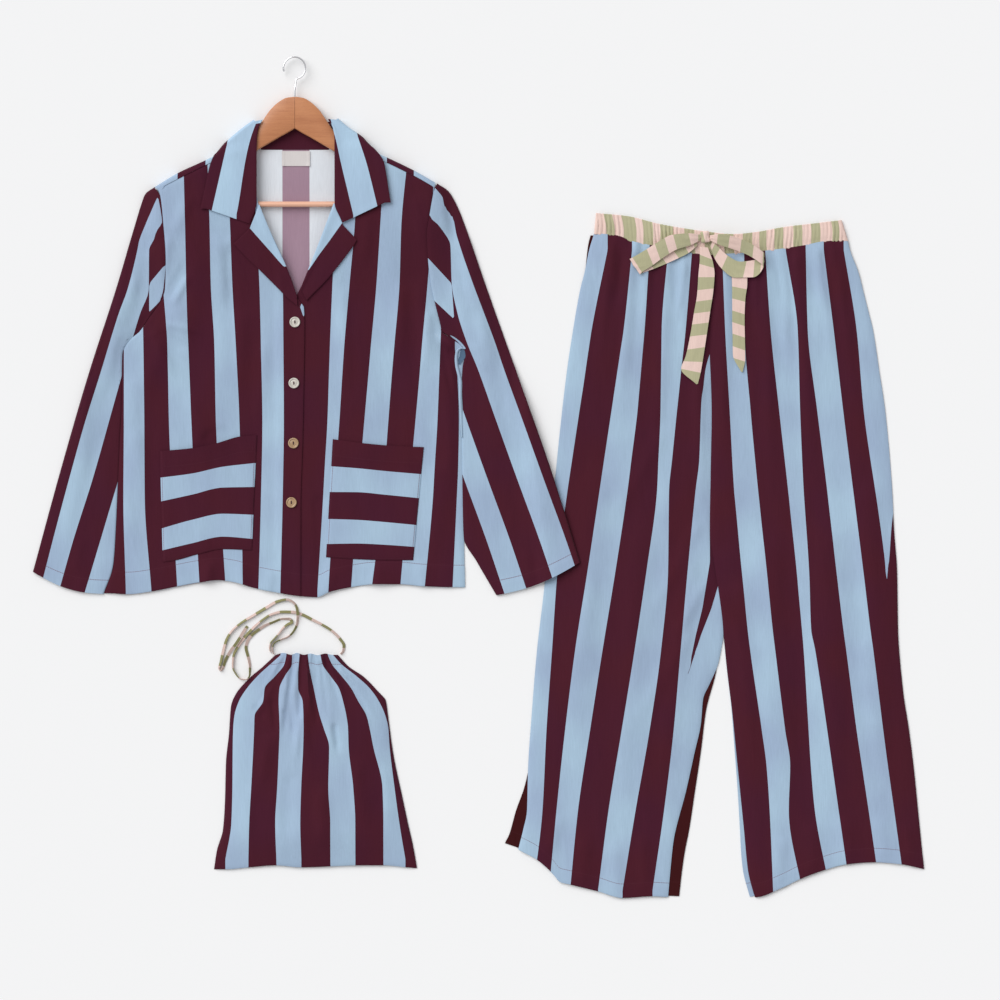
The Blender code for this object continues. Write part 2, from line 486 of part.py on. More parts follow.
def add_object(name, data, parent, kind):
    """Link an object under its garment's empty, with its own material."""
    made = bpy.data.objects.new(name, data)
    data.materials.append(material(name, kind))
    made.parent = parent
    bpy.context.scene.collection.objects.link(made)
    return made


def mesh_from(name, body):
    """A mesh in metres from points in millimetres, its faces turned outward."""
    verts, faces = body
    mesh = bpy.data.meshes.new(name)
    mesh.from_pydata([(x * MM, y * MM, z * MM) for x, y, z in verts], [], faces)
    bm = bmesh.new()
    bm.from_mesh(mesh)
    bmesh.ops.recalc_face_normals(bm, faces=bm.faces)
    bm.to_mesh(mesh)
    bm.free()
    mesh.shade_smooth()
    mesh.set_sharp_from_angle(angle=math.radians(50))
    return mesh


def piece(name, body, parent, kind):
    """A named piece of the set from its closed body."""
    return add_object(name, mesh_from(name, body), parent, kind)


def garment(name, place):
    """The empty that a garment's pieces hang from."""
    made = bpy.data.objects.new(name, None)
    made.location = (place[0], place[1], 0)
    bpy.context.scene.collection.objects.link(made)
    return made


def dip_to(edges, x, near=26.0):
    """How far a panel sinks near its sewn side edges."""
    return sum(EDGE_DIP * (1 - ease(abs(x - edge) / near)) for edge in edges)


# ---------------------------------------------------------------- shirt
BACK_ROWS = [0, 0.14, 0.28, 0.42, 0.51, 0.566, 0.605, 0.634, 0.662, 0.7, 0.734, 0.771, 0.84, 0.92]
FRONT_ROWS = [0, 0.05, 0.11, 0.17, 0.23, 0.29, 0.35, 0.41, 0.47, 0.52, 0.56, 0.598, 0.63,
              0.658, 0.694, 0.726, 0.762, 0.8, 0.84, 0.88, 0.92, 0.96, 1]


def back_columns():
    """Shares across the back, closer together where its neck edge climbs round the hanger."""
    left_x, right_x = left_of_body(700), right_of_body(700)

    def share(x):
        return (x - left_x) / (right_x - left_x)

    turn_left = [share(BACK_NECK_LEFT - c.out) for c in BACK_CLIMB[::-1]]
    turn_right = [share(BACK_NECK_RIGHT + c.out) for c in BACK_CLIMB]
    return (list(steps(0, turn_left[0], 0.07))[:-1] + turn_left
            + list(steps(turn_left[-1], turn_right[0], 0.13))[1:-1] + turn_right
            + list(steps(turn_right[-1], 1, 0.07))[1:])


def shirt_back():
    """The back panel, flat on the surface, over the shoulders and down to the front seam."""
    left_x, right_x = left_of_body(700), right_of_body(700)
    outer = []
    for u in back_columns():
        x_head = left_x + (right_x - left_x) * u
        fold_y, seam_y = shoulder_fold(x_head), front_head(x_head) + 4 * GAP
        beside = max(BACK_NECK_LEFT - x_head, x_head - BACK_NECK_RIGHT, 0)
        start_y = min(fold_y - 14, BACK_NECK_Y - 16)
        foot_y = body_hem(left_of_body(10) + (right_of_body(10) - left_of_body(10)) * u)
        column = []
        for share in BACK_ROWS:
            y = foot_y + (start_y - foot_y) * share
            x = left_of_body(y) + (right_of_body(y) - left_of_body(y)) * u
            column.append((x, y, COLLAR_UNDER * under_collar(x, y)))
        low = COLLAR_UNDER * under_collar(x_head, start_y)
        high = shirt_top(x_head, seam_y) + 0.1
        path = [(start_y, low), (fold_y - 6, low), (fold_y - 1.6, low + 0.2 * (high - low)),
                (fold_y, 0.5 * (low + high)), (fold_y - 1.6, low + 0.8 * (high - low)),
                (fold_y - 6, high), (seam_y, high)]
        away = [0.0]
        for (y1, z1), (y2, z2) in zip(path, path[1:]):
            away.append(away[-1] + math.hypot(y2 - y1, z2 - z1))
        stop = float(np.interp(beside, [c.out for c in BACK_CLIMB], [c.stop for c in BACK_CLIMB]))
        last = len(path) - 1
        for k in range(last + 1):
            at = float(np.interp(min(k, stop - 0.05 * (last - k)), range(last + 1), away))
            y = float(np.interp(at, away, [p[0] for p in path]))
            z = float(np.interp(at, away, [p[1] for p in path]))
            x = left_of_body(min(y, 616)) + (right_of_body(min(y, 618)) - left_of_body(min(y, 616))) * u
            column.append((x, y, z))
        outer.append(column)
    n = normals(outer)
    p = np.array(outer, float)
    inner = p + n * math.copysign(CLOTH, float(n[3, 3, 2]))
    inner[:, :, 2] = np.maximum(inner[:, :, 2], p[:, :, 2] - CLOTH)
    return closed_wall(outer, inner.tolist())


def placket(x):
    """The left front's rise onto the right one."""
    return PLACKET_RAISE * ease((x - PLACKET_FROM) / (PLACKET_TO - PLACKET_FROM))


def front_left_top(x, y):
    """Upper face of the left front."""
    near_side = dip_to([left_of_body(y)], x) if y < 399 else 0
    return shirt_top(x, y) - near_side + placket(x)


def front_right_top(x, y):
    """Upper face of the right front."""
    near_side = dip_to([right_of_body(y)], x) if y < 396 else 0
    return shirt_top(x, y) - near_side


def laid_panel(grid, height, raise_by=0.0):
    """A panel whose plan points take their height from what they lie on."""
    return lying_wall([[(x, y, height(x, y) + raise_by) for x, y in row] for row in grid])


ON_TOP = CLOTH + GAP + 0.25     # upper face of a piece above the upper face that it lies on


def front_panels():
    """The two fronts as plan grids."""
    shares = [0, 0.1, 0.2, 0.3, 0.4, 0.5, 0.6, 0.7, 0.78, 0.848, 0.905, 1]
    left = panel_grid(shares, FRONT_ROWS, left_of_body, down(FRONT_LEFT_EDGE), body_hem, front_head)
    right = panel_grid(np.linspace(0, 1, 11), FRONT_ROWS, down(FRONT_RIGHT_EDGE), right_of_body,
                       body_hem, front_head)
    return left, right


def rim(rows):
    """A point on a sleeve's edge from its share of the length."""
    at = [r.at for r in rows]
    return Smooth(at, [r.x for r in rows]), Smooth(at, [r.y for r in rows])


SLEEVE_RINGS = [0, 0.035, 0.07, 0.12, 0.19, 0.28, 0.36, 0.42, 0.49, 0.57, 0.68, 0.8, 0.91, 1]
SLEEVE_ACROSS = [0, 0.1, 0.25, 0.42, 0.58, 0.7, 0.8, 0.9, 1]
EDGE_IN = 2.2           # from a sleeve's folded edge to its first flat point


def inward(edge_x, edge_y, at, toward_x, toward_y):
    """The direction square to a sleeve's edge, into the sleeve."""
    low, high = max(at - 0.02, 0), min(at + 0.02, 1)
    dx, dy = edge_x(high) - edge_x(low), edge_y(high) - edge_y(low)
    length = math.copysign(math.hypot(dx, dy), dx * toward_y - dy * toward_x)
    return -dy / length, dx / length


def sleeve(outer_rows, inner_rows, armhole, shift, cuff_drop, lift):
    """A flattened tube from the armhole to the cuff, open at both ends."""
    outer_x, outer_y = rim(outer_rows)
    inner_x, inner_y = rim(inner_rows)
    outer, inner = [], []
    for at in SLEEVE_RINGS:
        ox, oy, ix, iy = outer_x(at), outer_y(at), inner_x(at), inner_y(at)
        width = math.hypot(ix - ox, iy - oy)
        bow = max(0.0, 1 - at / 0.24) ** 2
        square = {0: inward(outer_x, outer_y, at, ix - ox, iy - oy),
                  1: inward(inner_x, inner_y, at, ox - ix, oy - iy)}

        def plan(t):
            x, y = ox + (ix - ox) * t, oy + (iy - oy) * t
            chord_y = outer_y(0) + (inner_y(0) - outer_y(0)) * t
            chord_x = outer_x(0) + (inner_x(0) - outer_x(0)) * t
            ends = ease(t / 0.04) * ease((1 - t) / 0.04)
            x += bow * ends * (armhole(chord_y) + shift - chord_x)
            return x, y - cuff_drop * ease((at - 0.8) / 0.2) * math.sin(math.pi * t)

        def from_edge(t, distance):
            """A point at a distance from one of the two folded edges."""
            x, y = plan(t)
            return x + square[t][0] * distance, y + square[t][1] * distance

        def section(edge_in, flat_in, wall):
            top, bottom = [], []
            for t in SLEEVE_ACROSS:
                x, y = from_edge(t, flat_in) if t in (0, 1) else plan(t)
                rise = lift(x, y)
                dip = EDGE_DIP * (2 - ease(t * width / 16) - ease((1 - t) * width / 16)) * (1 - bow)
                top.append((x, y, shirt_top(x, y) - dip + 0.5 + rise - wall))
                bottom.append((x, y, rise + wall))
            ends = []
            for t, k in ((0, 0), (1, -1)):
                ends.append((*from_edge(t, edge_in), 0.5 * (top[k][2] + bottom[k][2])))
            return [ends[0]] + top + [ends[1]] + bottom[::-1]

        outer.append(section(0, EDGE_IN, 0))
        inner.append(section(1.3 * CLOTH, EDGE_IN + 0.9 * CLOTH, CLOTH))
    return closed_wall(outer, inner, ring=True, mirror=len(SLEEVE_ACROSS) + 1)


CUFF_LIFT = 8.2         # the right cuff lies on the trousers' left leg
CUFF_LIFT_FROM = 344.0
CUFF_LIFT_TO = 365.0


def over_trousers(x, y):
    """Height that the right sleeve gains to pass over the trousers."""
    return CUFF_LIFT * ease((x + 0.12 * (y - 60) - CUFF_LIFT_FROM) / (CUFF_LIFT_TO - CUFF_LIFT_FROM))


def flap_samples(stations):
    """Where a flap is sampled: at its stations, and halfway where it turns down."""
    samples = []
    for k in range(len(stations) - 1):
        samples.append(float(k))
        if stations[k].turn != stations[k + 1].turn or not any(s.turn for s in stations):
            samples.extend([k + 0.25, k + 0.5, k + 0.75] if stations[k].turn != stations[k + 1].turn else [k + 0.5])
    return samples + [float(len(stations) - 1)]


TURN_REACH = 8.8        # width of the flap's outer part, which turns down where turn is 1


def flap(stations, across_count, height, notch=None):
    """A flap of cloth from its folded edge to its free edge; turn wraps it down at the free edge."""
    at = list(range(len(stations)))
    curves = [Smooth(at, [getattr(s, key) for s in stations]) for key in ("x", "y", "out_x", "out_y", "turn")]
    turns = any(s.turn for s in stations)
    grid = []
    for t in flap_samples(stations):
        x, y, ox, oy, turn = (curve(t) for curve in curves)
        aside = math.copysign(1.0, ox - x)
        if turns:
            ox -= aside * TURN_REACH * (1 - turn)
        row = []
        for s in np.linspace(0, 1, across_count):
            px, py = x + (ox - x) * s, y + (oy - y) * s
            if notch:
                bend = max(1 - t, 0) * min(1.5 * s, 3 * (1 - s))
                px += bend * (notch.x - stations[0].x - (stations[0].out_x - stations[0].x) * 2 / 3)
                py += bend * (notch.y - stations[0].y - (stations[0].out_y - stations[0].y) * 2 / 3)
            roll = 1.2 * (1 - ease(s / 0.3)) - 0.5 * (1 - ease(s / 0.06))
            row.append((px, py, height(px, py) + roll - CLOTH / 2))
        if turns:
            z = row[-1][2]
            for k, (out, fall) in enumerate(((1.8, 0.22), (2.6, 0.52), (2.0, 0.82), (-4.5, 1.0))):
                flat = TURN_REACH * (k + 1) / 4 * (1 - turn)
                row.append((ox + aside * (out * turn + flat), oy + 0.8 * out * turn,
                            z + (0.75 - z) * fall * turn))
        grid.append(row)
    return grid


def collar_roll_grid():
    """Middle surface of the collar behind the neck."""
    grid = []
    for k, point in enumerate(COLLAR_ROLL):
        low, high = COLLAR_LEFT_END[k], COLLAR_RIGHT_END[k]
        grid.append([(x, point.y, point.z) for x in np.linspace(low, high, 6)])
    return grid


def joined(name, bodies, parent, kind):
    """One body from several that overlap."""
    made = piece(name, bodies[0], parent, kind)
    for k, body in enumerate(bodies[1:]):
        cutter = bpy.data.objects.new(f"{name}_join_{k}", mesh_from(f"{name}_join_{k}", body))
        cutter.parent = parent
        cutter.hide_render = True
        cutter.display_type = "WIRE"
        bpy.context.scene.collection.objects.link(cutter)
        union = made.modifiers.new(f"join_{k}", "BOOLEAN")
        union.operation = "UNION"
        union.object = cutter
    return made


def collar_height(x, y):
    """Upper face of the collar's wings."""
    return shirt_top(x, y) + placket(x) + ON_TOP


def button(place, height):
    """A turned button with a dished face and two holes through it, as one closed body."""
    hole, spread, around, turns = 1.0, 2.3, 14, 6
    rim_profile = [(BUTTON_RADIUS - 0.9, 0.0), (BUTTON_RADIUS, 0.8), (BUTTON_RADIUS, 1.6),
                   (BUTTON_RADIUS - 0.8, BUTTON_THICK), (BUTTON_RADIUS - 2.4, BUTTON_THICK),
                   (BUTTON_RADIUS - 3.2, BUTTON_THICK - 0.7)]
    bm = bmesh.new()
    rings = []
    for radius, z in rim_profile:
        ring = [bm.verts.new(((place.x + radius * math.cos(a)) * MM, (place.y + radius * math.sin(a)) * MM,
                              (height + z) * MM)) for a in np.linspace(0, 2 * math.pi, around, endpoint=False)]
        rings.append(ring)
    for low, high in zip(rings, rings[1:]):
        for k in range(around):
            bm.faces.new((low[k], low[(k + 1) % around], high[(k + 1) % around], high[k]))
    holes = []
    for z, outline in ((rim_profile[0][1], rings[0]), (rim_profile[-1][1], rings[-1])):
        loops = [outline]
        for side in (-1, 1):
            ring = [bm.verts.new(((place.x + side * spread + hole * math.cos(a)) * MM,
                                  (place.y + hole * math.sin(a)) * MM, (height + z) * MM))
                    for a in np.linspace(0, 2 * math.pi, turns, endpoint=False)]
            for k in range(turns):
                bm.edges.new((ring[k], ring[(k + 1) % turns]))
            loops.append(ring)
        edges = [e for e in bm.edges if all(any(v in loop for loop in loops) for v in e.verts)
                 and abs(e.verts[0].co.z - (height + z) * MM) < 1e-7
                 and abs(e.verts[1].co.z - (height + z) * MM) < 1e-7]
        bmesh.ops.triangle_fill(bm, edges=edges, use_beauty=True)
        holes.append(loops[1:])
    for low, high in zip(holes[0], holes[1]):
        for k in range(turns):
            bm.faces.new((low[k], high[k], high[(k + 1) % turns], low[(k + 1) % turns]))
    bmesh.ops.recalc_face_normals(bm, faces=bm.faces)
    return bm


def rounded_section(x, low_y, high_y, low_z, high_z, chamfer):
    """An eight-sided section of a wooden arm at one x."""
    return [(x, low_y + chamfer, low_z), (x, high_y - chamfer, low_z), (x, high_y, low_z + chamfer),
            (x, high_y, high_z - chamfer), (x, high_y - chamfer, high_z), (x, low_y + chamfer, high_z),
            (x, low_y, high_z - chamfer), (x, low_y, low_z + chamfer)]


def hanger_arm(side):
    """One wooden arm, lofted from its sections, with flat ends."""
    sections = []
    for bar in ARM:
        x = HANGER_X + side * bar.out
        sections.append(rounded_section(x, bar.bottom, bar.top, HANGER_LIFT, arm_top(bar.out), 2.2))
    verts = [p for section in sections for p in section]
    faces = []
    for i in range(len(sections) - 1):
        for j in range(8):
            k = (j + 1) % 8
            a, b, c, d = i * 8 + j, i * 8 + k, (i + 1) * 8 + k, (i + 1) * 8 + j
            faces.extend([(a, b, c), (a, c, d)])
    end = (len(sections) - 1) * 8
    for j in range(1, 7):
        faces.append((0, j + 1, j))
        faces.append((end, end + j, end + j + 1))
    return verts, faces


def tube(name, points, radius, parent, kind, resolution=2, place=(0, 0)):
    """A round wire, bar or tape along its points, with filled ends."""
    curve = bpy.data.curves.new(name, "CURVE")
    curve.dimensions = "3D"
    curve.bevel_depth = radius * MM
    curve.bevel_resolution = resolution
    curve.use_fill_caps = True
    spline = curve.splines.new("POLY")
    spline.points.add(len(points) - 1)
    for k, (x, y, z) in enumerate(points):
        spline.points[k].co = (x * MM, y * MM, z * MM, 1)
    return add_object(name, curve, parent, kind)


HOOK_STEM_TOP = 768.0
HOOK_CENTRE_X = HANGER_X - 0.5
HOOK_CENTRE_Y = 793.0
HOOK_RADIUS = 16.5
HOOK_Z = HANGER_LIFT + ARM_THICK_MIDDLE / 2


def hook_points():
    """The wire: up out of the crown, round to the right, over the top and down on the left."""
    crown = ARM[0].top
    points = [(HANGER_X, crown + 0.3, HOOK_Z), (HANGER_X, crown + 9, HOOK_Z)]
    start, sweep, count = math.radians(-80), math.radians(278), 24
    for k in range(count + 1):
        angle = start + sweep * k / count
        points.append((HOOK_CENTRE_X + HOOK_RADIUS * math.cos(angle),
                       HOOK_CENTRE_Y + HOOK_RADIUS * math.sin(angle), HOOK_Z))
    return points


def build_shirt():
    """The shirt and the hanger that it is on."""
    shirt = garment("shirt", SHIRT_PLACE)
    piece("shirt_back", shirt_back(), shirt, "blue")
    left, right = front_panels()
    piece("shirt_front_left", laid_panel(left, front_left_top), shirt, "blue")
    piece("shirt_front_right", laid_panel(right, front_right_top), shirt, "burgundy")
    piece("shirt_sleeve_left", sleeve(SLEEVE_LEFT_OUTER, SLEEVE_LEFT_INNER, left_of_body, -1.3,
                                      CUFF_DROP_LEFT, lambda x, y: 0.0), shirt, "burgundy")
    piece("shirt_sleeve_right", sleeve(SLEEVE_RIGHT_OUTER, SLEEVE_RIGHT_INNER, right_of_body, 1.4,
                                       CUFF_DROP_RIGHT, over_trousers), shirt, "blue")
    wings = [middle_wall(flap(rows, 6, collar_height), CLOTH) for rows in (WING_LEFT, WING_RIGHT)]
    joined("shirt_collar", [middle_wall(collar_roll_grid(), CLOTH)] + wings, shirt, "burgundy")
    for name, rows, notch, height in (("shirt_lapel_left", LAPEL_LEFT, LAPEL_LEFT_NOTCH, front_left_top),
                                      ("shirt_lapel_right", LAPEL_RIGHT, LAPEL_RIGHT_NOTCH, front_right_top)):
        body = middle_wall(flap(rows, 4, lambda x, y, h=height: h(x, y) + ON_TOP, notch), CLOTH)
        piece(name, body, shirt, "burgundy")
    for name, edge, height in (("shirt_pocket_left", POCKET_LEFT, front_left_top),
                               ("shirt_pocket_right", POCKET_RIGHT, front_right_top)):
        grid = panel_grid(np.linspace(0, 1, 7), np.linspace(0, 1, 8), down(edge["left"]),
                          down(edge["right"]), across(edge["hem"]), across(edge["top"]))
        piece(name, laid_panel(grid, height, ON_TOP), shirt, "blue")
    for k, place in enumerate(BUTTONS):
        mesh = bpy.data.meshes.new(f"shirt_button_{k + 1}")
        bm = button(place, front_left_top(place.x, place.y) + GAP + 0.2)
        bm.to_mesh(mesh)
        bm.free()
        add_object(f"shirt_button_{k + 1}", mesh, shirt, "pearl")
    label_top = COLLAR_UNDER + CLOTH + GAP + 0.6
    label = [[(x, y, label_top) for x in (-31.5, 10.5)] for y in (646.5, 669)]
    piece("shirt_neck_label", lying_wall(label, 0.6), shirt, "label")
    piece("hanger_arm_left", hanger_arm(-1), shirt, "wood")
    piece("hanger_arm_right", hanger_arm(1), shirt, "wood")
    bar_z = HANGER_LIFT + BAR_RADIUS + 0.1
    bar_half = 175.5
    ends = [(HANGER_X - bar_half, BAR_Y, bar_z), (HANGER_X + bar_half, BAR_Y, bar_z)]
    tube("hanger_bar", ends, BAR_RADIUS, shirt, "wood", 4)
    tube("hanger_hook", hook_points(), WIRE_RADIUS, shirt, "metal", 1)


# ---------------------------------------------------------------- trousers
def leg_columns(count=12):
    return np.linspace(0, 1, count)


def trouser_front(left, right, hem):
    """A front leg panel, from the hem to just under the waistband."""
    waist = across([Over(r.x, r.y - 2 * GAP) for r in WAIST_LOWER])
    rows = np.concatenate([np.linspace(0, 0.82, 17), np.linspace(0.82, 1, 6)[1:]])
    grid = panel_grid(leg_columns(13), rows, down(left), down(right), across(hem), waist)

    def height(x, y):
        return trousers_top(x, y) - dip_to([down(left)(y), down(right)(y)], x, 20)

    return laid_panel(grid, height)


def trouser_back(left, right, hem):
    """A back leg panel, flat on the surface."""
    waist = across([Over(r.x, r.y - 2.0) for r in WAIST_LOWER])
    grid = panel_grid(leg_columns(7), np.linspace(0, 1, 15), down(left), down(right), across(hem), waist)
    return lying_wall([[(x, y, CLOTH) for x, y in row] for row in grid])


def waistband():
    """The band, all round: gathered in front, flat on the surface behind."""
    lower, upper = across(WAIST_LOWER), across(WAIST_UPPER)
    shares = np.linspace(0, 1, BAND_GATHERS * 3 + 1)
    back_shares = np.linspace(1, 0, 13)
    wall = 1.3
    rows_up = [0, 0.2, 0.8, 1]
    rings = []
    for v in rows_up:
        def plan(u, inset):
            low_x = BAND_LEFT_LOW + inset + (BAND_RIGHT_LOW - BAND_LEFT_LOW - 2 * inset) * u
            top_x = BAND_LEFT_TOP + inset + (BAND_RIGHT_TOP - BAND_LEFT_TOP - 2 * inset) * u
            low_y, top_y = lower(low_x), upper(top_x)
            return low_x + (top_x - low_x) * v, low_y + (top_y - low_y) * v
        soft = 1 - 0.35 * abs(2 * v - 1)
        ring = [(*plan(0, 0.0), BAND_HEIGHT / 2)]
        for k, u in enumerate(shares):
            x, y = plan(u, 2.4)
            wave = math.cos(2 * math.pi * k / 3 + 0.9 * math.sin(0.37 * k)) * BAND_GATHER_DEPTH * soft
            ends = ease(u / 0.03) * ease((1 - u) / 0.03)
            ring.append((x, y, BAND_HEIGHT + (wave * 0.5 + 0.3) * ends))
        ring.append((*plan(1, 0.0), BAND_HEIGHT / 2))
        ring += [(*plan(u, 2.4), 0.0) for u in back_shares]
        rings.append(ring)
    n = normals(rings, ring=True)
    p = np.array(rings, float)
    centre = p.mean(axis=1, keepdims=True)
    if float((n * (p - centre))[:, :, 2].sum()) > 0:
        n = -n
    n[:, :, 1] = 0
    n /= np.linalg.norm(n, axis=2, keepdims=True)
    return closed_wall(rings, (p + n * wall).tolist(), ring=True)


def ribbon(rows, samples, thickness=TIE_CLOTH):
    """A flat ribbon through the two edges that its table gives."""
    at = list(range(len(rows)))
    curves = [Smooth(at, [getattr(r, key) for r in rows]) for key in Ribbon._fields]
    grid = []
    for t in np.linspace(0, at[-1], samples):
        ax, ay, az, bx, by, bz = (curve(t) for curve in curves)
        grid.append([(ax + (bx - ax) * s, ay + (by - ay) * s, az + (bz - az) * s) for s in (0, 0.5, 1)])
    return middle_wall(grid, thickness)


def knot_body():
    """The knot: a soft, flattened ball of tie cloth."""
    bm = bmesh.new()
    bmesh.ops.create_uvsphere(bm, u_segments=14, v_segments=9, radius=1)
    for v in bm.verts:
        x, y, z = v.co
        squarer = 1 + 0.22 * (abs(x * y) + abs(y * z))
        v.co = ((KNOT.x + 6.6 * x * squarer) * MM, (KNOT.y + 8.2 * y * squarer) * MM,
                (KNOT.z + 3.9 * z * squarer) * MM)
    bmesh.ops.recalc_face_normals(bm, faces=bm.faces)
    return bm


def build_trousers():
    """The trousers with their band and tie."""
    trousers = garment("trousers", TROUSERS_PLACE)
    piece("trousers_back_left", trouser_back(BACK_LEFT_OUTER, BACK_LEFT_INNER, BACK_LEFT_HEM),
          trousers, "burgundy")
    piece("trousers_back_right", trouser_back(BACK_RIGHT_INNER, TROUSERS_RIGHT_OUTER, BACK_RIGHT_HEM),
          trousers, "burgundy")
    piece("trousers_front_left", trouser_front(TROUSERS_LEFT_OUTER, TROUSERS_LEFT_INNER, TROUSERS_LEFT_HEM),
          trousers, "blue")
    piece("trousers_front_right",
          trouser_front(TROUSERS_RIGHT_INNER, TROUSERS_RIGHT_OUTER, TROUSERS_RIGHT_HEM), trousers, "burgundy")
    piece("trousers_waistband", waistband(), trousers, "tie")
    mesh = bpy.data.meshes.new("trousers_tie_knot")
    bm = knot_body()
    bm.to_mesh(mesh)
    bm.free()
    add_object("trousers_tie_knot", mesh, trousers, "tie")
    piece("trousers_tie_loop_left", ribbon(TIE_LOOP_LEFT, 21), trousers, "tie")
    piece("trousers_tie_loop_right", ribbon(TIE_LOOP_RIGHT, 25), trousers, "tie")
    piece("trousers_tie_tail_left", ribbon(TIE_TAIL_LEFT, 17), trousers, "tie")
    piece("trousers_tie_tail_right", ribbon(TIE_TAIL_RIGHT, 13), trousers, "tie")


# ---------------------------------------------------------------- bag
def bag_top_face(x, y, left, right):
    """Upper face of the bag's front, a little filled out and gathered at the channel."""
    share = (x - left) / (right - left)
    crown = math.sin(math.pi * min(max(share, 0), 1)) ** 0.7
    along = ease((y + 12) / 70) * (1 - 0.55 * ease((y - 180) / 130))
    flat = LAY + CLOTH - EDGE_DIP * (1 - ease(min(share, 1 - share) / 0.08))
    return flat + (BAG_PUFF * along + fold_height(x, y, BAG_FOLDS)) * crown


def build_bag():
    """The drawstring bag and its tape."""
    bag = garment("bag", BAG_PLACE)
    left, right, hem, top = down(BAG_LEFT), down(BAG_RIGHT), across(BAG_HEM), across(BAG_TOP)
    back = panel_grid(np.linspace(0, 1, 9), np.linspace(0, 1, 11), left, right, hem, top)
    piece("bag_back", lying_wall([[(x, y, CLOTH) for x, y in row] for row in back]), bag, "burgundy")
    rows = np.concatenate([np.linspace(0, 0.6, 7), np.linspace(0.6, 1, 8)[1:]])
    front = panel_grid(np.linspace(0, 1, 19), rows, left, right, hem, top)
    piece("bag_front", laid_panel(front, lambda x, y: bag_top_face(x, y, left(y), right(y))), bag, "blue")
    for name, route in (("bag_drawstring_long", DRAWSTRING_LONG), ("bag_drawstring_loop", DRAWSTRING_LOOP)):
        at = list(range(len(route)))
        curves = [Smooth(at, [getattr(p, key) for p in route]) for key in Point._fields]
        points = [tuple(curve(t) for curve in curves) for t in np.linspace(0, at[-1], int(1.5 * len(route)))]
        tube(name, points, TAPE_RADIUS, bag, "tie", 1)


for old in list(bpy.data.objects):
    bpy.data.objects.remove(old, do_unlink=True)
build_shirt()
build_trousers()
build_bag()
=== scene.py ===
# %% [markdown]
# # A striped pyjama set, laid out flat
#
# The set is a long-sleeved shirt on a wooden hanger, a pair of wide trousers with a tied waist,
# and a small bag of the same cloth with a drawstring. All of it is thin woven cotton, so this
# lesson is about cloth: how to give a thin panel its cut, its folds and its woven stripes
# without any picture. The solids that carry the set are loaded first and never moved. Each
# panel of cloth made here takes the place of one of them.

# %% Load the solids
import math
from collections import namedtuple

import bmesh
import bpy
import numpy as np
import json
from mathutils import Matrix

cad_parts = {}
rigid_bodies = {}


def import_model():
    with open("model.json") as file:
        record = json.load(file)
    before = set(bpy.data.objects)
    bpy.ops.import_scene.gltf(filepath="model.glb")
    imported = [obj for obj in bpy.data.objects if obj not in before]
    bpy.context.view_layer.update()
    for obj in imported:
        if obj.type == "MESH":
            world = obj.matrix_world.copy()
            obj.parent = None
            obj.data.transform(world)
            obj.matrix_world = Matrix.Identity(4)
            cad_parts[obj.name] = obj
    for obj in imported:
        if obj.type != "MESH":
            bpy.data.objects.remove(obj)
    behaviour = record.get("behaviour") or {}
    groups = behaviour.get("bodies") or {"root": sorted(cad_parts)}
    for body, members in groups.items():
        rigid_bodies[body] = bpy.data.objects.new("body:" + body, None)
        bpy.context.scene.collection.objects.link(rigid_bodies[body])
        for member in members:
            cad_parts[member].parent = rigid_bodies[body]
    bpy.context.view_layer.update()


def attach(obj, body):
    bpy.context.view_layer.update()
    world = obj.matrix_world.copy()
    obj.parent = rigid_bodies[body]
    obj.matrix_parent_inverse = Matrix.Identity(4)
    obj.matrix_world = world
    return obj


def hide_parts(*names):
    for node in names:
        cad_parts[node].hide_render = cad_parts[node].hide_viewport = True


for old in list(bpy.data.objects):
    bpy.data.objects.remove(old, do_unlink=True)
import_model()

# %% [markdown]
# ## Camera, floor and light
#
# Clothes for a flat lay are looked at from straight above. A short lens would lean the edges
# outward, so a long lens a good way up is used, and everything keeps its plan shape.

# %% Camera over the set
VIEW_WIDTH = 1.5  # metres of floor across the view
VIEW_HEIGHT = 9.0  # metres
VIEW_MIDDLE = (0.0323, -0.03435)
VIEW_FAR = 50.0
camera = bpy.data.objects.new("camera", bpy.data.cameras.new("camera"))
camera.data.sensor_width = 36.0
camera.data.lens = camera.data.sensor_width * VIEW_HEIGHT / VIEW_WIDTH
camera.data.clip_end = VIEW_FAR
camera.location = (*VIEW_MIDDLE, VIEW_HEIGHT)
bpy.context.scene.collection.objects.link(camera)
bpy.context.scene.camera = camera
print("lens", camera.data.lens, "mm")

# %% [markdown]
# The floor is one large pale sheet of board. The light is like an overcast sky with a big soft
# lamp on one side: nearly no shadows on the floor, but enough direction that a shallow fold in
# the cloth still has a lighter and a darker side. A sun lamp with a very wide angle is such a
# lamp, and it lights the whole set evenly.

# %% Helpers for node materials
def new_material(name):
    """A material, its nodes, its shader, and the place of a point on its object."""
    made = bpy.data.materials.new(name)
    made.use_nodes = True
    tree = made.node_tree
    return made, tree, tree.nodes["Principled BSDF"], node(tree, "ShaderNodeTexCoord").outputs["Object"]


def plug(tree, owner, inputs):
    """Links a node's inputs to sockets, or sets them to plain values."""
    for key, value in inputs.items():
        socket = owner.inputs[key]
        if isinstance(value, bpy.types.NodeSocket):
            tree.links.new(value, socket)
        else:
            socket.default_value = value


def node(tree, kind, inputs=None, **settings):
    """A node with its settings, and its inputs as values or links."""
    made = tree.nodes.new(kind)
    for key, value in settings.items():
        setattr(made, key, value)
    plug(tree, made, inputs or {})
    return made


def sums(tree, operation, a, b=0.0, c=0.0):
    """One step of arithmetic on sockets or numbers."""
    return node(tree, "ShaderNodeMath", {0: a, 1: b, 2: c}, operation=operation).outputs[0]


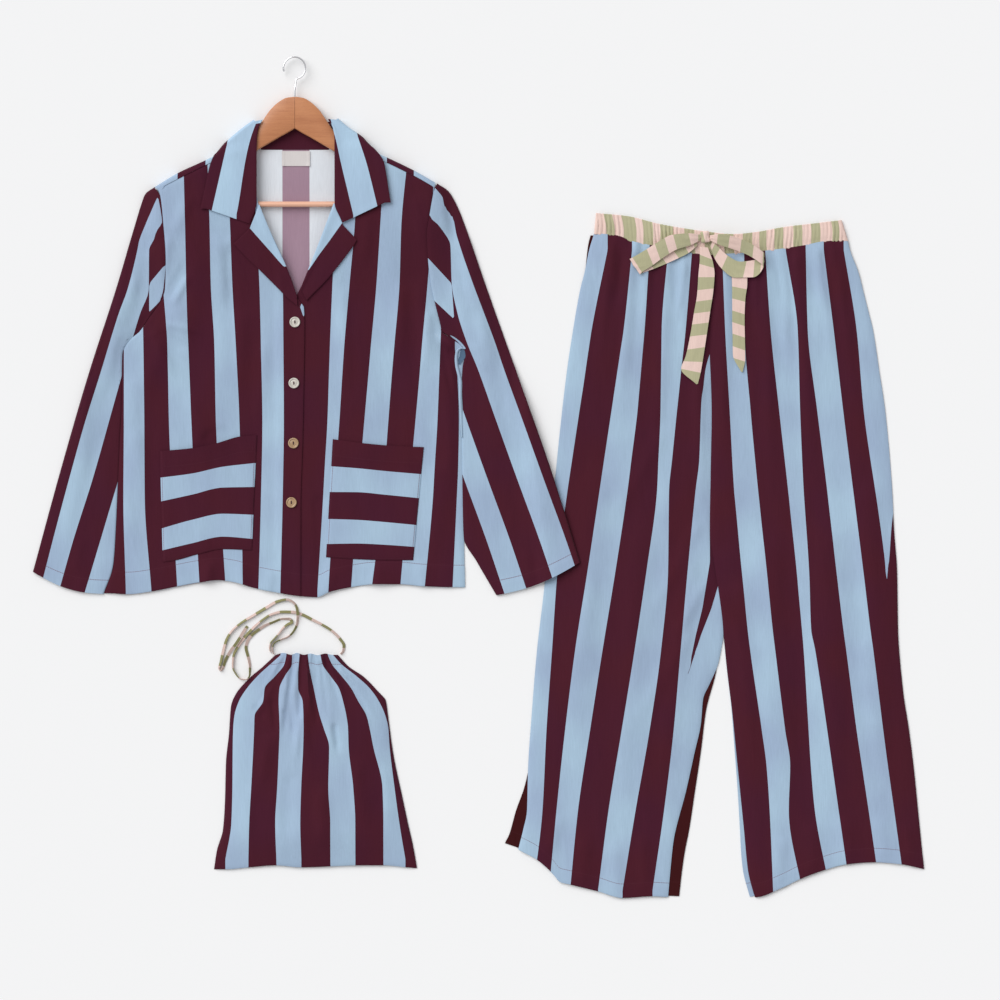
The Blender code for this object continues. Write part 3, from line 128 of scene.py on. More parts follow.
def blended(tree, share, a, b, mode="MIX"):
    """Colour a turning into colour b as share goes from 0 to 1."""
    a, b = ((*colour, 1) if isinstance(colour, tuple) else colour for colour in (a, b))
    return node(tree, "ShaderNodeMix", {0: share, 6: a, 7: b}, data_type="RGBA", blend_type=mode).outputs[2]


def bump(tree, height, strength, distance):
    """A fine relief, its distance in metres."""
    return node(tree, "ShaderNodeBump", {"Height": height, "Strength": strength, "Distance": distance}).outputs[0]


def noise(tree, where, scale, detail=2.0):
    """Soft noise from 0 to 1."""
    return node(tree, "ShaderNodeTexNoise", {"Vector": where, "Scale": scale, "Detail": detail}).outputs[0]


# %% Floor and soft light
FLOOR_TONE, FLOOR_TONE_LIGHT = (0.915, 0.915, 0.918), (0.92, 0.92, 0.923)
FLOOR_REACH = 12.0  # metres, from the middle
FLOOR_LEVEL = -0.0004  # a hair below the cloth
floor_material, tree, shader, place = new_material("pale_board")
plug(tree, shader, {"Base Color": blended(tree, noise(tree, place, 3.0), FLOOR_TONE, FLOOR_TONE_LIGHT),
                    "Roughness": 0.95, "Specular IOR Level": 0.0})
floor_mesh = bpy.data.meshes.new("floor")
floor_corners = [(FLOOR_REACH * i, FLOOR_REACH * j, FLOOR_LEVEL) for i, j in ((-1, -1), (1, -1), (1, 1), (-1, 1))]
floor_mesh.from_pydata(floor_corners, [], [(0, 1, 2, 3)])
floor_mesh.materials.append(floor_material)
floor = bpy.data.objects.new("floor", floor_mesh)
bpy.context.scene.collection.objects.link(floor)

SKY_COLOUR = (0.985, 0.99, 1.0, 1)
SKY_STRENGTH = 0.50
LAMP_STRENGTH = 2.26
LAMP_ANGLE = 50  # degrees, as wide as a very large soft lamp
LAMP_TILT = (-30, -38)  # degrees about X and Y: the light comes from the upper left
sky = bpy.data.worlds.new("sky")
sky.use_nodes = True
plug(sky.node_tree, sky.node_tree.nodes["Background"], {"Color": SKY_COLOUR, "Strength": SKY_STRENGTH})
bpy.context.scene.world = sky
lamp = bpy.data.objects.new("lamp", bpy.data.lights.new("lamp", "SUN"))
lamp.data.energy = LAMP_STRENGTH
lamp.data.angle = math.radians(LAMP_ANGLE)
lamp.rotation_euler = (math.radians(LAMP_TILT[0]), math.radians(LAMP_TILT[1]), 0)
bpy.context.scene.collection.objects.link(lamp)
bpy.context.scene.view_settings.view_transform = "Standard"
print("light: sky", SKY_STRENGTH, "lamp", LAMP_STRENGTH)

# %% [markdown]
# ## Smooth lines from short tables
#
# A pattern cutter marks a few points and joins them with a curve that never swings past them.
# `Line` does the same: it passes through the values of a table, and between two of them it never
# goes above the higher or below the lower. All tables are in millimetres, each garment in its own
# frame, with X from its middle and Y up from its hem.

# %% Curves and measures
MM = 0.001
SHIRT_PLACE = (-0.2632, -0.1801)
TROUSERS_PLACE = (0.3488, -0.6301)
BAG_PLACE = (-0.2437, -0.5866)
At = namedtuple("At", "y x")
Over = namedtuple("Over", "x y")
LYING_TAPE = 1.8  # mm, the height of a lying tape in the table of its route
Point = namedtuple("Point", "x y z", defaults=(LYING_TAPE,))


def table(row, *values):
    """The rows of a table, all of one kind, from plain numbers."""
    return [row(*value) for value in values]


class Line:
    """A smooth curve through table values that never overshoots them."""

    def __init__(self, at, value):
        self.at = np.array(at, float)
        self.value = np.array(value, float)
        rise = np.diff(self.value) / np.diff(self.at)
        self.slope = np.zeros(len(self.at))
        for i in range(1, len(self.at) - 1):
            if rise[i - 1] * rise[i] > 0:
                self.slope[i] = 2 * rise[i - 1] * rise[i] / (rise[i - 1] + rise[i])
        self.slope[0], self.slope[-1] = rise[0], rise[-1]

    def __call__(self, t):
        t = np.clip(t, self.at[0], self.at[-1])
        i = np.clip(np.searchsorted(self.at, t, side="right") - 1, 0, len(self.at) - 2)
        span = self.at[i + 1] - self.at[i]
        s = (t - self.at[i]) / span
        return ((1 + 2 * s) * (1 - s) ** 2 * self.value[i] + s * (1 - s) ** 2 * span * self.slope[i]
                + s * s * (3 - 2 * s) * self.value[i + 1] + s * s * (s - 1) * span * self.slope[i + 1])


def through(rows, t):
    """Each column of a table at t, from the first row, 0, to the last, as an upright array."""
    at = np.arange(len(rows))
    return [Line(at, values)(t)[:, None] for values in zip(*rows)]


def down(rows):
    """x as a function of y."""
    return Line([r.y for r in rows], [r.x for r in rows])


def across(rows):
    """y as a function of x."""
    return Line([r.x for r in rows], [r.y for r in rows])


def ease(t):
    """0 to 1 with no corner at either end."""
    t = np.clip(t, 0.0, 1.0)
    return t * t * (3 - 2 * t)


def between(a, b, share):
    """The value at a share of the way from a to b."""
    return a + (b - a) * share


def to_edge(distance, reach):
    """1 at an edge and 0 beyond its reach, the share by which a rounded edge falls."""
    return (1 - np.clip(distance / reach, 0, 1)) ** 2


def grid(x, y, z):
    """A grid of points from the grids of their coordinates."""
    return np.stack([x, y, z], -1)


def metres(points, origin):
    """Points of a garment's frame, in millimetres, as points of the set, in metres."""
    return np.asarray(points, float) * MM + np.array([origin[0], origin[1], 0.0])


print("a curve through 0, 1 and 1 is at", round(float(Line([0, 1, 2], [0, 1, 1])(0.5)), 3), "halfway to the first")

# %% [markdown]
# ## One way to make any piece of cloth
#
# Every piece is first a grid of points on its upper face, rows going along it and columns across.
# A second grid one cloth thickness below closes it to a thin body with real edges. Numbers that
# the materials need, such as which stripe a point lies in, are stored on the same points. They
# stay with the cloth when it folds, as woven stripes do.

# %% From a grid of points to a piece of cloth
CLOTH_WALL = 0.6  # mm, doubled cotton where it is turned under included
LOWEST = 0.02  # mm, where the underside of a lying cloth may be


def facing(points, ring=False):
    """The direction square to the cloth at each point of a grid."""
    if ring:
        along = np.roll(points, -1, axis=1) - np.roll(points, 1, axis=1)
    else:
        along = np.gradient(points, axis=1)
    direction = np.cross(along, np.gradient(points, axis=0))
    return direction / np.maximum(np.linalg.norm(direction, axis=2, keepdims=True), 1e-9)


def two_faces(points, wall=CLOTH_WALL, square=False):
    """The upper and lower grid of a cloth: straight down, or square to the surface."""
    if not square:
        return points, points - np.array([0, 0, wall])
    out = facing(points) * wall / 2
    return points + out, points - out


def grid_faces(rows, columns, ring):
    """The quads of a closed body between two matching grids."""
    size = rows * columns
    last = columns if ring else columns - 1
    i, j = np.meshgrid(np.arange(rows - 1), np.arange(last), indexing="ij")
    k = (j + 1) % columns
    upper = np.stack([i * columns + j, i * columns + k, (i + 1) * columns + k, (i + 1) * columns + j], -1)
    upper = upper.reshape(-1, 4)
    lower = upper[:, ::-1] + size
    rims = []
    end = (rows - 1) * columns
    for a in range(last):
        b = (a + 1) % columns
        rims.append((size + a, size + b, b, a))
        rims.append((end + a, end + b, size + end + b, size + end + a))
    if not ring:
        for r in range(rows - 1):
            a, b = r * columns, (r + 1) * columns
            rims.append((a, b, size + b, size + a))
            a, b = a + columns - 1, b + columns - 1
            rims.append((size + a, size + b, b, a))
    return upper, lower, np.array(rims)


def link(name, data, *materials):
    """An object of the set that rides on its one body."""
    made = bpy.data.objects.new(name, data)
    for material in materials:
        data.materials.append(material)
    bpy.context.scene.collection.objects.link(made)
    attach(made, "root")
    return made


def finish_mesh(bm, mesh, sharp_from):
    """Turns every face outward, and shades smoothly but across real edges."""
    bmesh.ops.recalc_face_normals(bm, faces=bm.faces)
    bm.to_mesh(mesh)
    bm.free()
    mesh.shade_smooth()
    mesh.set_sharp_from_angle(angle=math.radians(sharp_from))


def cloth(name, faces_of, origin, marks, materials, ring=False):
    """A closed thin piece from its two grids, with its marks stored on the points."""
    upper, lower = faces_of
    lower = grid(lower[:, :, 0], lower[:, :, 1], np.maximum(lower[:, :, 2], LOWEST))
    rows, columns = upper.shape[:2]
    verts = metres(np.concatenate([upper.reshape(-1, 3), lower.reshape(-1, 3)]), origin)
    over, under, rims = grid_faces(rows, columns, ring)
    mesh = bpy.data.meshes.new(name)
    mesh.from_pydata(verts.tolist(), [], np.concatenate([over, under, rims]).tolist())
    for key, value in marks.items():
        on_both = np.tile(np.broadcast_to(value, (rows, columns)).ravel(), 2).astype(np.float32)
        mesh.attributes.new(key, "FLOAT", "POINT").data.foreach_set("value", on_both)
    made = link(name, mesh, *materials)
    if len(materials) > 1:
        mesh.polygons.foreach_set("material_index", [0] * len(over) + [1] * len(under) + [0] * len(rims))
    bm = bmesh.new()
    bm.from_mesh(mesh)
    finish_mesh(bm, mesh, 60)
    return made


def covers(piece, slot_name, *nodes):
    """The piece takes the place of these solids, which are hidden; the slot name is not used."""
    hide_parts(*nodes)
    return piece


def cloth_area(piece):
    """One layer's area in square metres."""
    return sum(p.area for p in piece.data.polygons) / 2


print("a grid of 3 by 3 points closes with", sum(len(f) for f in grid_faces(3, 3, False)), "faces")

# %% [markdown]
# ## The finish of woven stripes
#
# The cloth is plain weave, dyed in the yarn: the stripe is not printed on it, so its edge is
# crisp and runs exactly with the threads. The material reads a few numbers from the points.
# `stripe` is the distance to the nearest change of stripe, above nought in one yarn and below it
# in the other, so the edge between them stays sharp at any grid. `patch` is above nought where a
# fold or a seam brings the other colour to the front. Two more, `stitch` and `run`, give the
# distance from the nearest row of stitching and the place along it, so a thread can be drawn as
# short dashes. The weave itself is a bump of two crossing sets of yarns.

# %% Where the stripes change
StripeRow = namedtuple("StripeRow", "y edges")  # where the stripes change, at one height
BLUE_FIRST, BURGUNDY_FIRST = 1, -1  # the stripe before the first edge
NO_PATCH, NO_STITCH = -1.0, 9.0  # as stored where there is neither
ALL_BLUE, ALL_BURGUNDY = 5.0, -5.0  # a piece of one colour


def stripe_rows(*rows):
    """Stripe rows from plain numbers: the height, then the edges."""
    return [StripeRow(height, edges) for height, *edges in rows]


def marked(stripe, patch=NO_PATCH, stitch=NO_STITCH, run=0.0):
    """The numbers that the stripe material reads from the points."""
    return {"stripe": stripe, "patch": patch, "stitch": stitch, "run": run}


def stripe_side(x, y, rows, before):
    """Distance to the nearest change of stripe: above nought in blue, below it in burgundy."""
    rows = sorted(rows)
    heights = [r.y for r in rows]
    edges = np.array([Line(heights, values)(y) if len(rows) > 1 else np.full(np.shape(y), values[0])
                      for values in zip(*[r.edges for r in rows])])
    passed = (x >= edges).sum(axis=0)
    return np.where(passed % 2 == 0, before, -before) * np.abs(x - edges).min(axis=0)


def inside(x, y, corners):
    """Distance to the outline of a patch, above nought inside it."""
    nearest = np.full(np.shape(x), 1e6)
    within = np.zeros(np.shape(x), bool)
    for (x1, y1), (x2, y2) in zip(corners, corners[1:] + corners[:1]):
        dx, dy = x2 - x1, y2 - y1
        t = np.clip(((x - x1) * dx + (y - y1) * dy) / (dx * dx + dy * dy), 0, 1)
        nearest = np.minimum(nearest, np.hypot(x - x1 - t * dx, y - y1 - t * dy))
        if y1 != y2:
            within ^= ((y1 > y) != (y2 > y)) & (x < dx * (y - y1) / dy + x1)
    return np.where(within, nearest, -nearest)


def patches(x, y, outlines):
    """The patch number for several outlines."""
    return np.max([inside(x, y, o) for o in outlines], axis=0) if outlines else NO_PATCH


example = stripe_side(np.array([15.0]), np.array([0.0]), stripe_rows((0, 10, 30)), BLUE_FIRST)
print("5 mm past the first edge, a blue piece has", example[0])

# %% Stripe material
EVEN_BLUE = (0.392, 0.538, 0.680)
EVEN_BLUE_SHADE = (0.338, 0.442, 0.600)
ODD_BURGUNDY = (0.0600, 0.0065, 0.0210)
ODD_BURGUNDY_RED = (0.0660, 0.0070, 0.0170)
THREAD = (0.16, 0.05, 0.075)
YARN_PITCH = 0.00045  # metres from thread to thread
NODE_WAVE = 0.3142  # metres, one wave of a wave texture at scale 1
YARN_RELIEF = 0.00012  # metres
STITCH_HALF = 0.45  # mm, half the width of a sewn thread
STITCH_LENGTH = 2.6  # mm from stitch to stitch
STITCH_SHOWN = 0.72  # the share of it that lies on top


def weave_bump(tree, place, strength):
    """Two crossing sets of yarns as a bump, with slightly thick and thin places."""
    rings = NODE_WAVE / YARN_PITCH
    warp, weft = (node(tree, "ShaderNodeTexWave", {"Vector": place, "Scale": scale, "Distortion": 0.6, "Detail": 1.0,
                                                   "Detail Scale": 3.0}, bands_direction=way).outputs["Fac"]
                  for way, scale in (("X", rings), ("Y", rings * 0.9)))
    return bump(tree, sums(tree, "MULTIPLY", warp, weft), strength, YARN_RELIEF)


def slubs(tree, place, scale):
    """Noise drawn out along the warp, as thick and thin yarns give."""
    stretched = node(tree, "ShaderNodeMapping", {"Vector": place, "Scale": (1.0, 0.05, 1.0)}).outputs[0]
    return noise(tree, stretched, scale, 3.0)


def striped_material(name, even, even_shade, odd, odd_shade, thread, sheen=0.0, roughness=0.85):
    """Woven stripes in two yarn colours, each with a soft second tone."""
    made, tree, shader, place = new_material(name)

    def stored(key):
        return node(tree, "ShaderNodeAttribute", attribute_name=key).outputs["Fac"]

    broad = sums(tree, "MULTIPLY_ADD", noise(tree, place, 9.0, 1.0), 3.0, -1.0)
    tone = node(tree, "ShaderNodeClamp", {0: broad}).outputs[0]
    is_odd = sums(tree, "LESS_THAN", stored("stripe"), 0.0)
    swapped = sums(tree, "GREATER_THAN", stored("patch"), 0.0)
    odd_share = sums(tree, "ABSOLUTE", sums(tree, "SUBTRACT", is_odd, swapped))
    yarn = blended(tree, odd_share, blended(tree, tone, even, even_shade), blended(tree, tone, odd, odd_shade))
    fine = sums(tree, "MULTIPLY_ADD", slubs(tree, place, 900.0), 0.22, 0.89)
    grey = node(tree, "ShaderNodeCombineColor", {0: fine, 1: fine, 2: fine}).outputs[0]
    yarn = blended(tree, 1.0, yarn, grey, "MULTIPLY")
    near = sums(tree, "LESS_THAN", sums(tree, "ABSOLUTE", stored("stitch")), STITCH_HALF)
    stitches = sums(tree, "FRACT", sums(tree, "MULTIPLY", stored("run"), 1 / STITCH_LENGTH))
    dash = sums(tree, "LESS_THAN", stitches, STITCH_SHOWN)
    seen = sums(tree, "MULTIPLY_ADD", odd_share, -0.7, 0.8)
    sewn = sums(tree, "MULTIPLY", sums(tree, "MULTIPLY", near, dash), seen)
    plug(tree, shader, {
        "Base Color": blended(tree, sewn, yarn, thread), "Normal": weave_bump(tree, place, 0.5),
        "Roughness": sums(tree, "MULTIPLY_ADD", slubs(tree, place, 500.0), 0.12, roughness - 0.06),
        "Specular IOR Level": 0.18, "Sheen Weight": sheen, "Sheen Roughness": 0.45})
    return made


burgundies = (ODD_BURGUNDY, ODD_BURGUNDY_RED, THREAD)
striped = striped_material("striped_cotton_face", EVEN_BLUE, EVEN_BLUE_SHADE, *burgundies, 0.06)
# Painted light: the collar and lapels are the shirt's own cloth, with their blue painted lighter than the shirt's.
striped_lit_collar = striped_material("striped_cotton_collar_painted_light", (0.445, 0.618, 0.775), (0.39, 0.53, 0.69),
                                  *burgundies, 0.06)
striped_inside = striped_material("striped_cotton_inside", (0.78, 0.81, 0.86), (0.72, 0.76, 0.81),
                                  (0.393, 0.259, 0.327), (0.35, 0.225, 0.295), THREAD, 0.03, 0.9)
# The trousers' back panels have the face's blue and a burgundy painted near black. That burgundy is painted shade
# where the back shows beside and under the fronts.
striped_shaded_back = striped_material("striped_cotton_back_painted_shade", EVEN_BLUE, EVEN_BLUE_SHADE,
                                (0.042, 0.0035, 0.0045), (0.046, 0.004, 0.005), THREAD, 0.0, 0.9)
# Dark blue for the inside of the underarm curl: painted shade.
striped_curl_shade = striped_material("striped_cotton_curl_painted_shade", (0.12, 0.20, 0.31), (0.07, 0.12, 0.19), *burgundies)
ribboned = striped_material("tie_cotton_face", (0.83, 0.62, 0.56), (0.78, 0.57, 0.50),
                            (0.475, 0.455, 0.285), (0.425, 0.41, 0.255), (0.60, 0.50, 0.40), 0.05)
taped = striped_material("tie_cotton_tape", (0.66, 0.50, 0.45), (0.60, 0.45, 0.40),
                         (0.28, 0.262, 0.125), (0.24, 0.225, 0.105), (0.45, 0.38, 0.30), 0.05)
print("stripe materials:", [m.name for m in bpy.data.materials if "cotton" in m.name])

# %% [markdown]
# ## The bag's drawstring
#
# The drawstring is two flat tapes of pink and sage stripes. Each leaves the channel at the top of
# the bag and goes in again, or ends free, and each just lies on the table in loose curves. A flat
# tape is a route with a direction across it: mostly it lies on its face, and where it turns
# sharply it rises on its edge. So the tape is built as a strip that follows the route, with a
# small table of how far it is rolled.

# %% Routes of the two tapes
# Out of the channel's left end, over the top, and back on itself to its free end.
DRAWSTRING_LONG = table(Point,
    (-63.5, 321, 2.6), (-65.3, 327, 2.0), (-64.5, 334), (-60, 339.5), (-52, 343), (-42, 347), (-33, 356, 1.9),
    (-28, 368, 2.6), (-27, 378, 6.6), (-28, 388, 5.0), (-33, 398, 1.9), (-44, 403), (-58, 400), (-74, 391),
    (-94, 379), (-112, 368), (-126, 356), (-134, 343), (-139, 326), (-143, 308), (-145.6, 300), (-143.2, 296.4),
    (-140, 299.4), (-136, 311), (-128, 326, 3.0), (-121, 335, 6.2), (-115, 344, 6.4), (-109, 354, 3.2), (-103, 363))
# From the channel's right end, over the top to a small loop, and back to the left.
DRAWSTRING_LOOP = table(Point,
    (37, 321, 2.6), (41, 326, 2.0), (42, 334), (36, 344), (24, 356), (8, 366), (-8, 374), (-20, 380), (-34, 384),
    (-50, 384.5), (-66, 381), (-78, 374), (-89, 365), (-102, 352), (-112, 340), (-119, 329), (-124, 317),
    (-125, 303), (-120, 291, 1.9), (-112, 283.5, 2.6), (-104, 283, 7.0), (-99, 291, 6.6), (-99, 303, 2.6),
    (-102, 318), (-105, 331, 1.9), (-102, 342, 2.4), (-96, 350, 2.6), (-87, 357, 1.9), (-76, 364), (-64, 369),
    (-50, 374), (-40, 374, 1.9), (-36, 369, 2.0), (-42, 366), (-49.5, 360), (-56.5, 351), (-63, 343.8),
    (-68.3, 337.5), (-69.8, 330, 2.0), (-68, 324, 2.6))
TAPE_WIDTH = 4.4  # mm
TAPE_WALL = 0.9
TAPE_SAMPLES = 12  # to each point of its table
ROUTE_ABOVE = 1.0  # the heights of a route stand above the tape's middle by this
Roll = namedtuple("Roll", "share degrees")
LONG_ROLLS = table(Roll,
    (0, 80), (0.10, 74), (0.20, 60), (0.30, 30), (0.36, 58), (0.46, 30), (0.56, 60), (0.64, 30), (0.74, 78),
    (0.80, 40), (0.88, 12), (1, 10))
LOOP_ROLLS = table(Roll,
    (0, 60), (0.05, 30), (0.12, 50), (0.18, 16), (0.28, 56), (0.36, 24), (0.42, 60), (0.50, 76), (0.60, 30),
    (0.68, 14), (0.76, 56), (0.82, 30), (0.88, 66), (1, 80))
BLOCK = 16.8  # one woven block of the tape, mm


def tape(name, route, rolls):
    """A flat woven tape along its route, rolled about it by the table."""
    t = np.linspace(0, len(route) - 1, TAPE_SAMPLES * len(route))
    middle = np.concatenate(through(route, t), axis=1)
    for _ in range(3):
        middle[1:-1] = 0.25 * middle[:-2] + 0.5 * middle[1:-1] + 0.25 * middle[2:]
    turn = np.radians(Line([r.share for r in rolls], [r.degrees for r in rolls])(t / t[-1]))
    half_width = TAPE_WIDTH / 2
    lowest = np.abs(np.sin(turn)) * half_width + TAPE_WALL / 2 + 0.1
    middle[:, 2] = np.maximum(middle[:, 2] - ROUTE_ABOVE, lowest)
    ahead = np.gradient(middle, axis=0)
    ahead /= np.linalg.norm(ahead, axis=1, keepdims=True)
    side = np.cross(np.array([0, 0, 1.0]), ahead)
    side /= np.linalg.norm(side, axis=1, keepdims=True)
    up = np.cross(ahead, side)
    aside = side * np.cos(turn)[:, None] + up * np.sin(turn)[:, None]
    s = np.array([-1, -0.93, -0.5, 0, 0.5, 0.93, 1]) * half_width
    points = middle[:, None, :] + aside[:, None, :] * s[None, :, None]
    walked = np.concatenate([[0], np.cumsum(np.linalg.norm(np.diff(middle, axis=0), axis=1))])
    blocks = np.sin(math.pi * (walked[:, None] / BLOCK + 0.35)) + 0 * s[None, :]
    piece = cloth(name, two_faces(points, TAPE_WALL, square=True), BAG_PLACE, marked(blocks), (taped,))
    return piece, metres(middle, BAG_PLACE), float(walked[-1]) * MM


for name, route, rolls, end in (("drawstring_long", DRAWSTRING_LONG, LONG_ROLLS, "bare"),
                                ("drawstring_loop", DRAWSTRING_LOOP, LOOP_ROLLS, "object")):
    piece, path, length = tape(name, route, rolls)
    covers(piece, "tie_cotton", "bag_" + name)
    print(name, "is", round(length, 3), "m long")

# %% [markdown]
# ## The heights of the shirt
#
# Every layer of the shirt lies on the one under it, so one function gives the upper face of its
# top layer anywhere: flat cloth, plus a sum of long soft folds, lifted over the wooden arms of
# the hanger. A fold is a row of a table: where it starts and ends, how wide it is and how high.
# Pieces that lie on a front panel take their points from the same function and sit higher.

# %% Hanger sizes that lift the cloth
LAYER_WALL = 1.2  # the room that one layer takes in the stack, mm
GAP = 0.3  # air between two layers
LAY = 2.4  # what lies below the upper layer
HANGER_X = -12.0
HANGER_LIFT = 3.9  # the hanger's underside above the floor
ARM_THICK_MIDDLE = 10.6
ARM_THICK_END = 8.9
ARM_REACH = 196.0
BAR_Y = 589.0
Fold = namedtuple("Fold", "x1 y1 x2 y2 width height")
CREASE_DEPTH = 1.4  # all creases that no solid has, against their tables


def shallow(height, depth):
    """The same creases, with no trough deeper than the layers below leave room for."""
    return np.where(height < 0, depth * np.tanh(height / depth), height)


def fold_height(x, y, folds):
    """The sum of the soft ridges and troughs at each point."""
    total = np.zeros(np.shape(x))
    for f in folds:
        dx, dy = f.x2 - f.x1, f.y2 - f.y1
        length = math.hypot(dx, dy)
        along = ((x - f.x1) * dx + (y - f.y1) * dy) / length
        aside = ((x - f.x1) * dy - (y - f.y1) * dx) / length
        ends = ease((along + f.width) / (2.5 * f.width)) * ease((length + f.width - along) / (0.5 * length))
        total += f.height * ends * np.exp(-(aside / f.width) ** 2)
    return total


def arm_top(out):
    """The hanger's upper side above the surface, at a distance from its middle."""
    return HANGER_LIFT + between(ARM_THICK_MIDDLE, ARM_THICK_END, np.minimum(out / ARM_REACH, 1))


def ripple(x, y, across_mm, along_mm, seed):
    """Small uneven waves, from -1 to 1, as soft cloth has everywhere."""
    draw = np.random.default_rng(seed)
    total = np.zeros(np.shape(x))
    for _ in range(7):
        wide, long = across_mm * draw.uniform(0.6, 1.7), along_mm * draw.uniform(0.7, 2.2)
        lean = draw.uniform(-0.35, 0.35)
        total += np.sin(2 * math.pi * ((x + lean * y) / wide + y / long) + draw.uniform(0, 6.28))
    return total / 4.5


print("the cloth over the hanger's middle is at", float(arm_top(0)) + GAP + LAYER_WALL, "mm")

# %% Folds and outline of the shirt
SHIRT_TROUGH = 1.3  # mm, the deepest that a crease of the shirt may sink
SHIRT_FOLDS = table(Fold,
    (-150, 560, -183, 340, 20, 3.0), (-196, 440, -236, 300, 16, 3.5), (-110, 420, -150, 200, 26, 2.2),
    (-205, 470, -170, 380, 14, 2.4), (120, 560, 150, 330, 22, 2.6), (172, 470, 205, 300, 15, 3.5),
    (70, 420, 95, 180, 26, 2.0), (215, 350, 222, 120, 13, 2.8), (-255, 330, -262, 60, 15, 2.4),
    (-150, 48, -128, 8, 14, 2.6), (132, 40, 120, 8, 16, 2.4), (46, 44, 36, 6, 12, 2.4),
    (-262, 540, -300, 300, 13, 4.0), (-300, 430, -350, 120, 18, 3.2), (-240, 520, -276, 400, 11, 3.0),
    (238, 540, 290, 330, 13, 4.0), (262, 400, 300, 180, 17, 3.2), (320, 300, 372, 80, 20, 3.0),
    (230, 470, 262, 350, 12, 3.0))
SHIRT_CREASES = table(Fold,
    (-174, 498, -207, 444, 6, -2.0), (-172, 480, -196, 436, 6, 1.6), (-232, 400, -190, 330, 9, 2.0),
    (-128, 540, -120, 430, 10, 1.7), (-112, 520, -104, 420, 8, -1.4), (-90, 430, -96, 300, 12, 1.6),
    (-170, 300, -150, 230, 12, 1.6), (-60, 380, -66, 250, 10, 1.4), (-250, 250, -240, 110, 12, 1.7),
    (150, 470, 140, 330, 12, 1.9), (190, 430, 176, 320, 9, 1.7), (205, 395, 236, 366, 7, 2.2),
    (220, 370, 232, 318, 3.5, -1.8), (208, 378, 222, 306, 3.5, -1.8), (224, 372, 228, 300, 4, 1.4),
    (212, 392, 222, 376, 7, 2.2), (60, 460, 62, 300, 11, 1.4), (205, 200, 200, 60, 12, 1.6),
    (-140, 52, -146, 4, 9, 2.2), (-96, 50, -90, 6, 9, 1.8), (116, 50, 108, 10, 10, 2.0), (-46, 44, -52, 4, 10, 1.6),
    (176, 50, 182, 10, 11, 1.6), (78, 48, 84, 8, 8, -1.2), (24, 150, 30, 20, 7, -2.2),
    (-136, 566, -112, 540, 9, -2.0), (-216, 396, -176, 372, 6, -1.8), (-206, 410, -150, 396, 5, 1.2),
    (-150, 236, -112, 246, 9, -2.4), (-200, 540, -214, 470, 8, 1.5), (-168, 600, -196, 540, 9, 1.3),
    (100, 580, 92, 500, 10, 1.4), (170, 600, 178, 520, 9, 1.3))
BODY_LEFT = table(At,
    (2, -300), (24, -292), (43.5, -285.6), (100, -282), (166, -279), (235, -276), (295, -273), (340, -273),
    (366, -271.5), (382, -264), (399, -244.5), (423, -228), (442, -214.5), (462, -207), (505, -205.5), (560, -209),
    (601, -213.4), (608, -215.5), (616, -223))
BODY_RIGHT = table(At,
    (15, 243), (85, 241.5), (220, 240), (325, 238.5), (349, 240), (364, 244.5), (374, 241.5), (391, 219),
    (396, 210), (406, 207), (441, 198), (468, 192), (508, 187.5), (544, 186), (576, 190.5), (610, 196.5),
    (618, 198))
BODY_HEM = table(Over,
    (-286.5, 6), (-264, 4.5), (-225, 9), (-187, 16.5), (-154, 22.5), (-127, 25.5), (-103, 22.5), (-72, 13.5),
    (-33, 6), (-4, 1.5), (21, 0), (39, 7.5), (72, 15), (108, 19.5), (145, 19.5), (181, 16.5), (223, 15), (243, 15))
SHOULDER_FOLD = table(Over,
    (-222, 615), (-187, 636), (-145, 655.5), (-122, 667), (-100, 681), (-84, 696), (-74, 707), (-12, 707),
    (50, 707), (60, 697), (76, 684), (100, 671), (133, 656), (166, 640), (201, 620))
SHOULDER_SEAM = table(Over,
    (-222, 608.5), (-150, 645), (-100, 670.4), (-76.5, 682.3), (-66, 687.6), (-12, 700), (42, 692), (55.5, 685.4),
    (80, 673.4), (123, 652.4), (160, 634.3), (201, 614.3))
COVER_HALF, COVER_SOFT = 241.0, 42.0  # half the width that the hanger lifts, and its soft edge
COVER_FROM, COVER_WHOLE = 430.0, BAR_Y - 10  # the heights where the lift begins and is whole


def hanger_cover(x, y):
    """How much of the hanger's height the cloth over it takes on."""
    beside = ease((COVER_HALF - np.abs(x - HANGER_X)) / COVER_SOFT)
    return beside * ease((y - COVER_FROM) / (COVER_WHOLE - COVER_FROM))


def shirt_top(x, y):
    """The upper face of the shirt's upper layer."""
    flat = LAY + LAYER_WALL + fold_height(x, y, SHIRT_FOLDS)
    over = arm_top(np.abs(x - HANGER_X)) + GAP + LAYER_WALL
    creases = CREASE_DEPTH * fold_height(x, y, SHIRT_CREASES)
    soft = creases + 0.4 * ripple(x, y, 46, 300, 5) + 0.16 * ripple(x, y, 17, 90, 6)
    return flat + np.maximum(over - flat, 0) * hanger_cover(x, y) + shallow(soft, SHIRT_TROUGH)


left_of_body, right_of_body = down(BODY_LEFT), down(BODY_RIGHT)
shoulder_fold, shoulder_seam, body_hem = across(SHOULDER_FOLD), across(SHOULDER_SEAM), across(BODY_HEM)


def front_head(x):
    """Upper edge of the fronts: the seam that the back comes forward to."""
    return np.minimum(shoulder_seam(x), shoulder_fold(x) - 8.4)


def edge_drop(distance, reach=26.0, depth=0.9, roll=1.3):
    """How far a layer sinks to a sewn edge: gently first, then rounded over."""
    return depth * (1 - ease(distance / reach)) + roll * to_edge(distance, 6)


print("shirt is", BODY_RIGHT[0].x - BODY_LEFT[0].x, "mm wide at the hem")

# %% Panels from two side edges, a hem and a head
ABOVE_ALL = 2000.0  # mm, above every panel's top edge


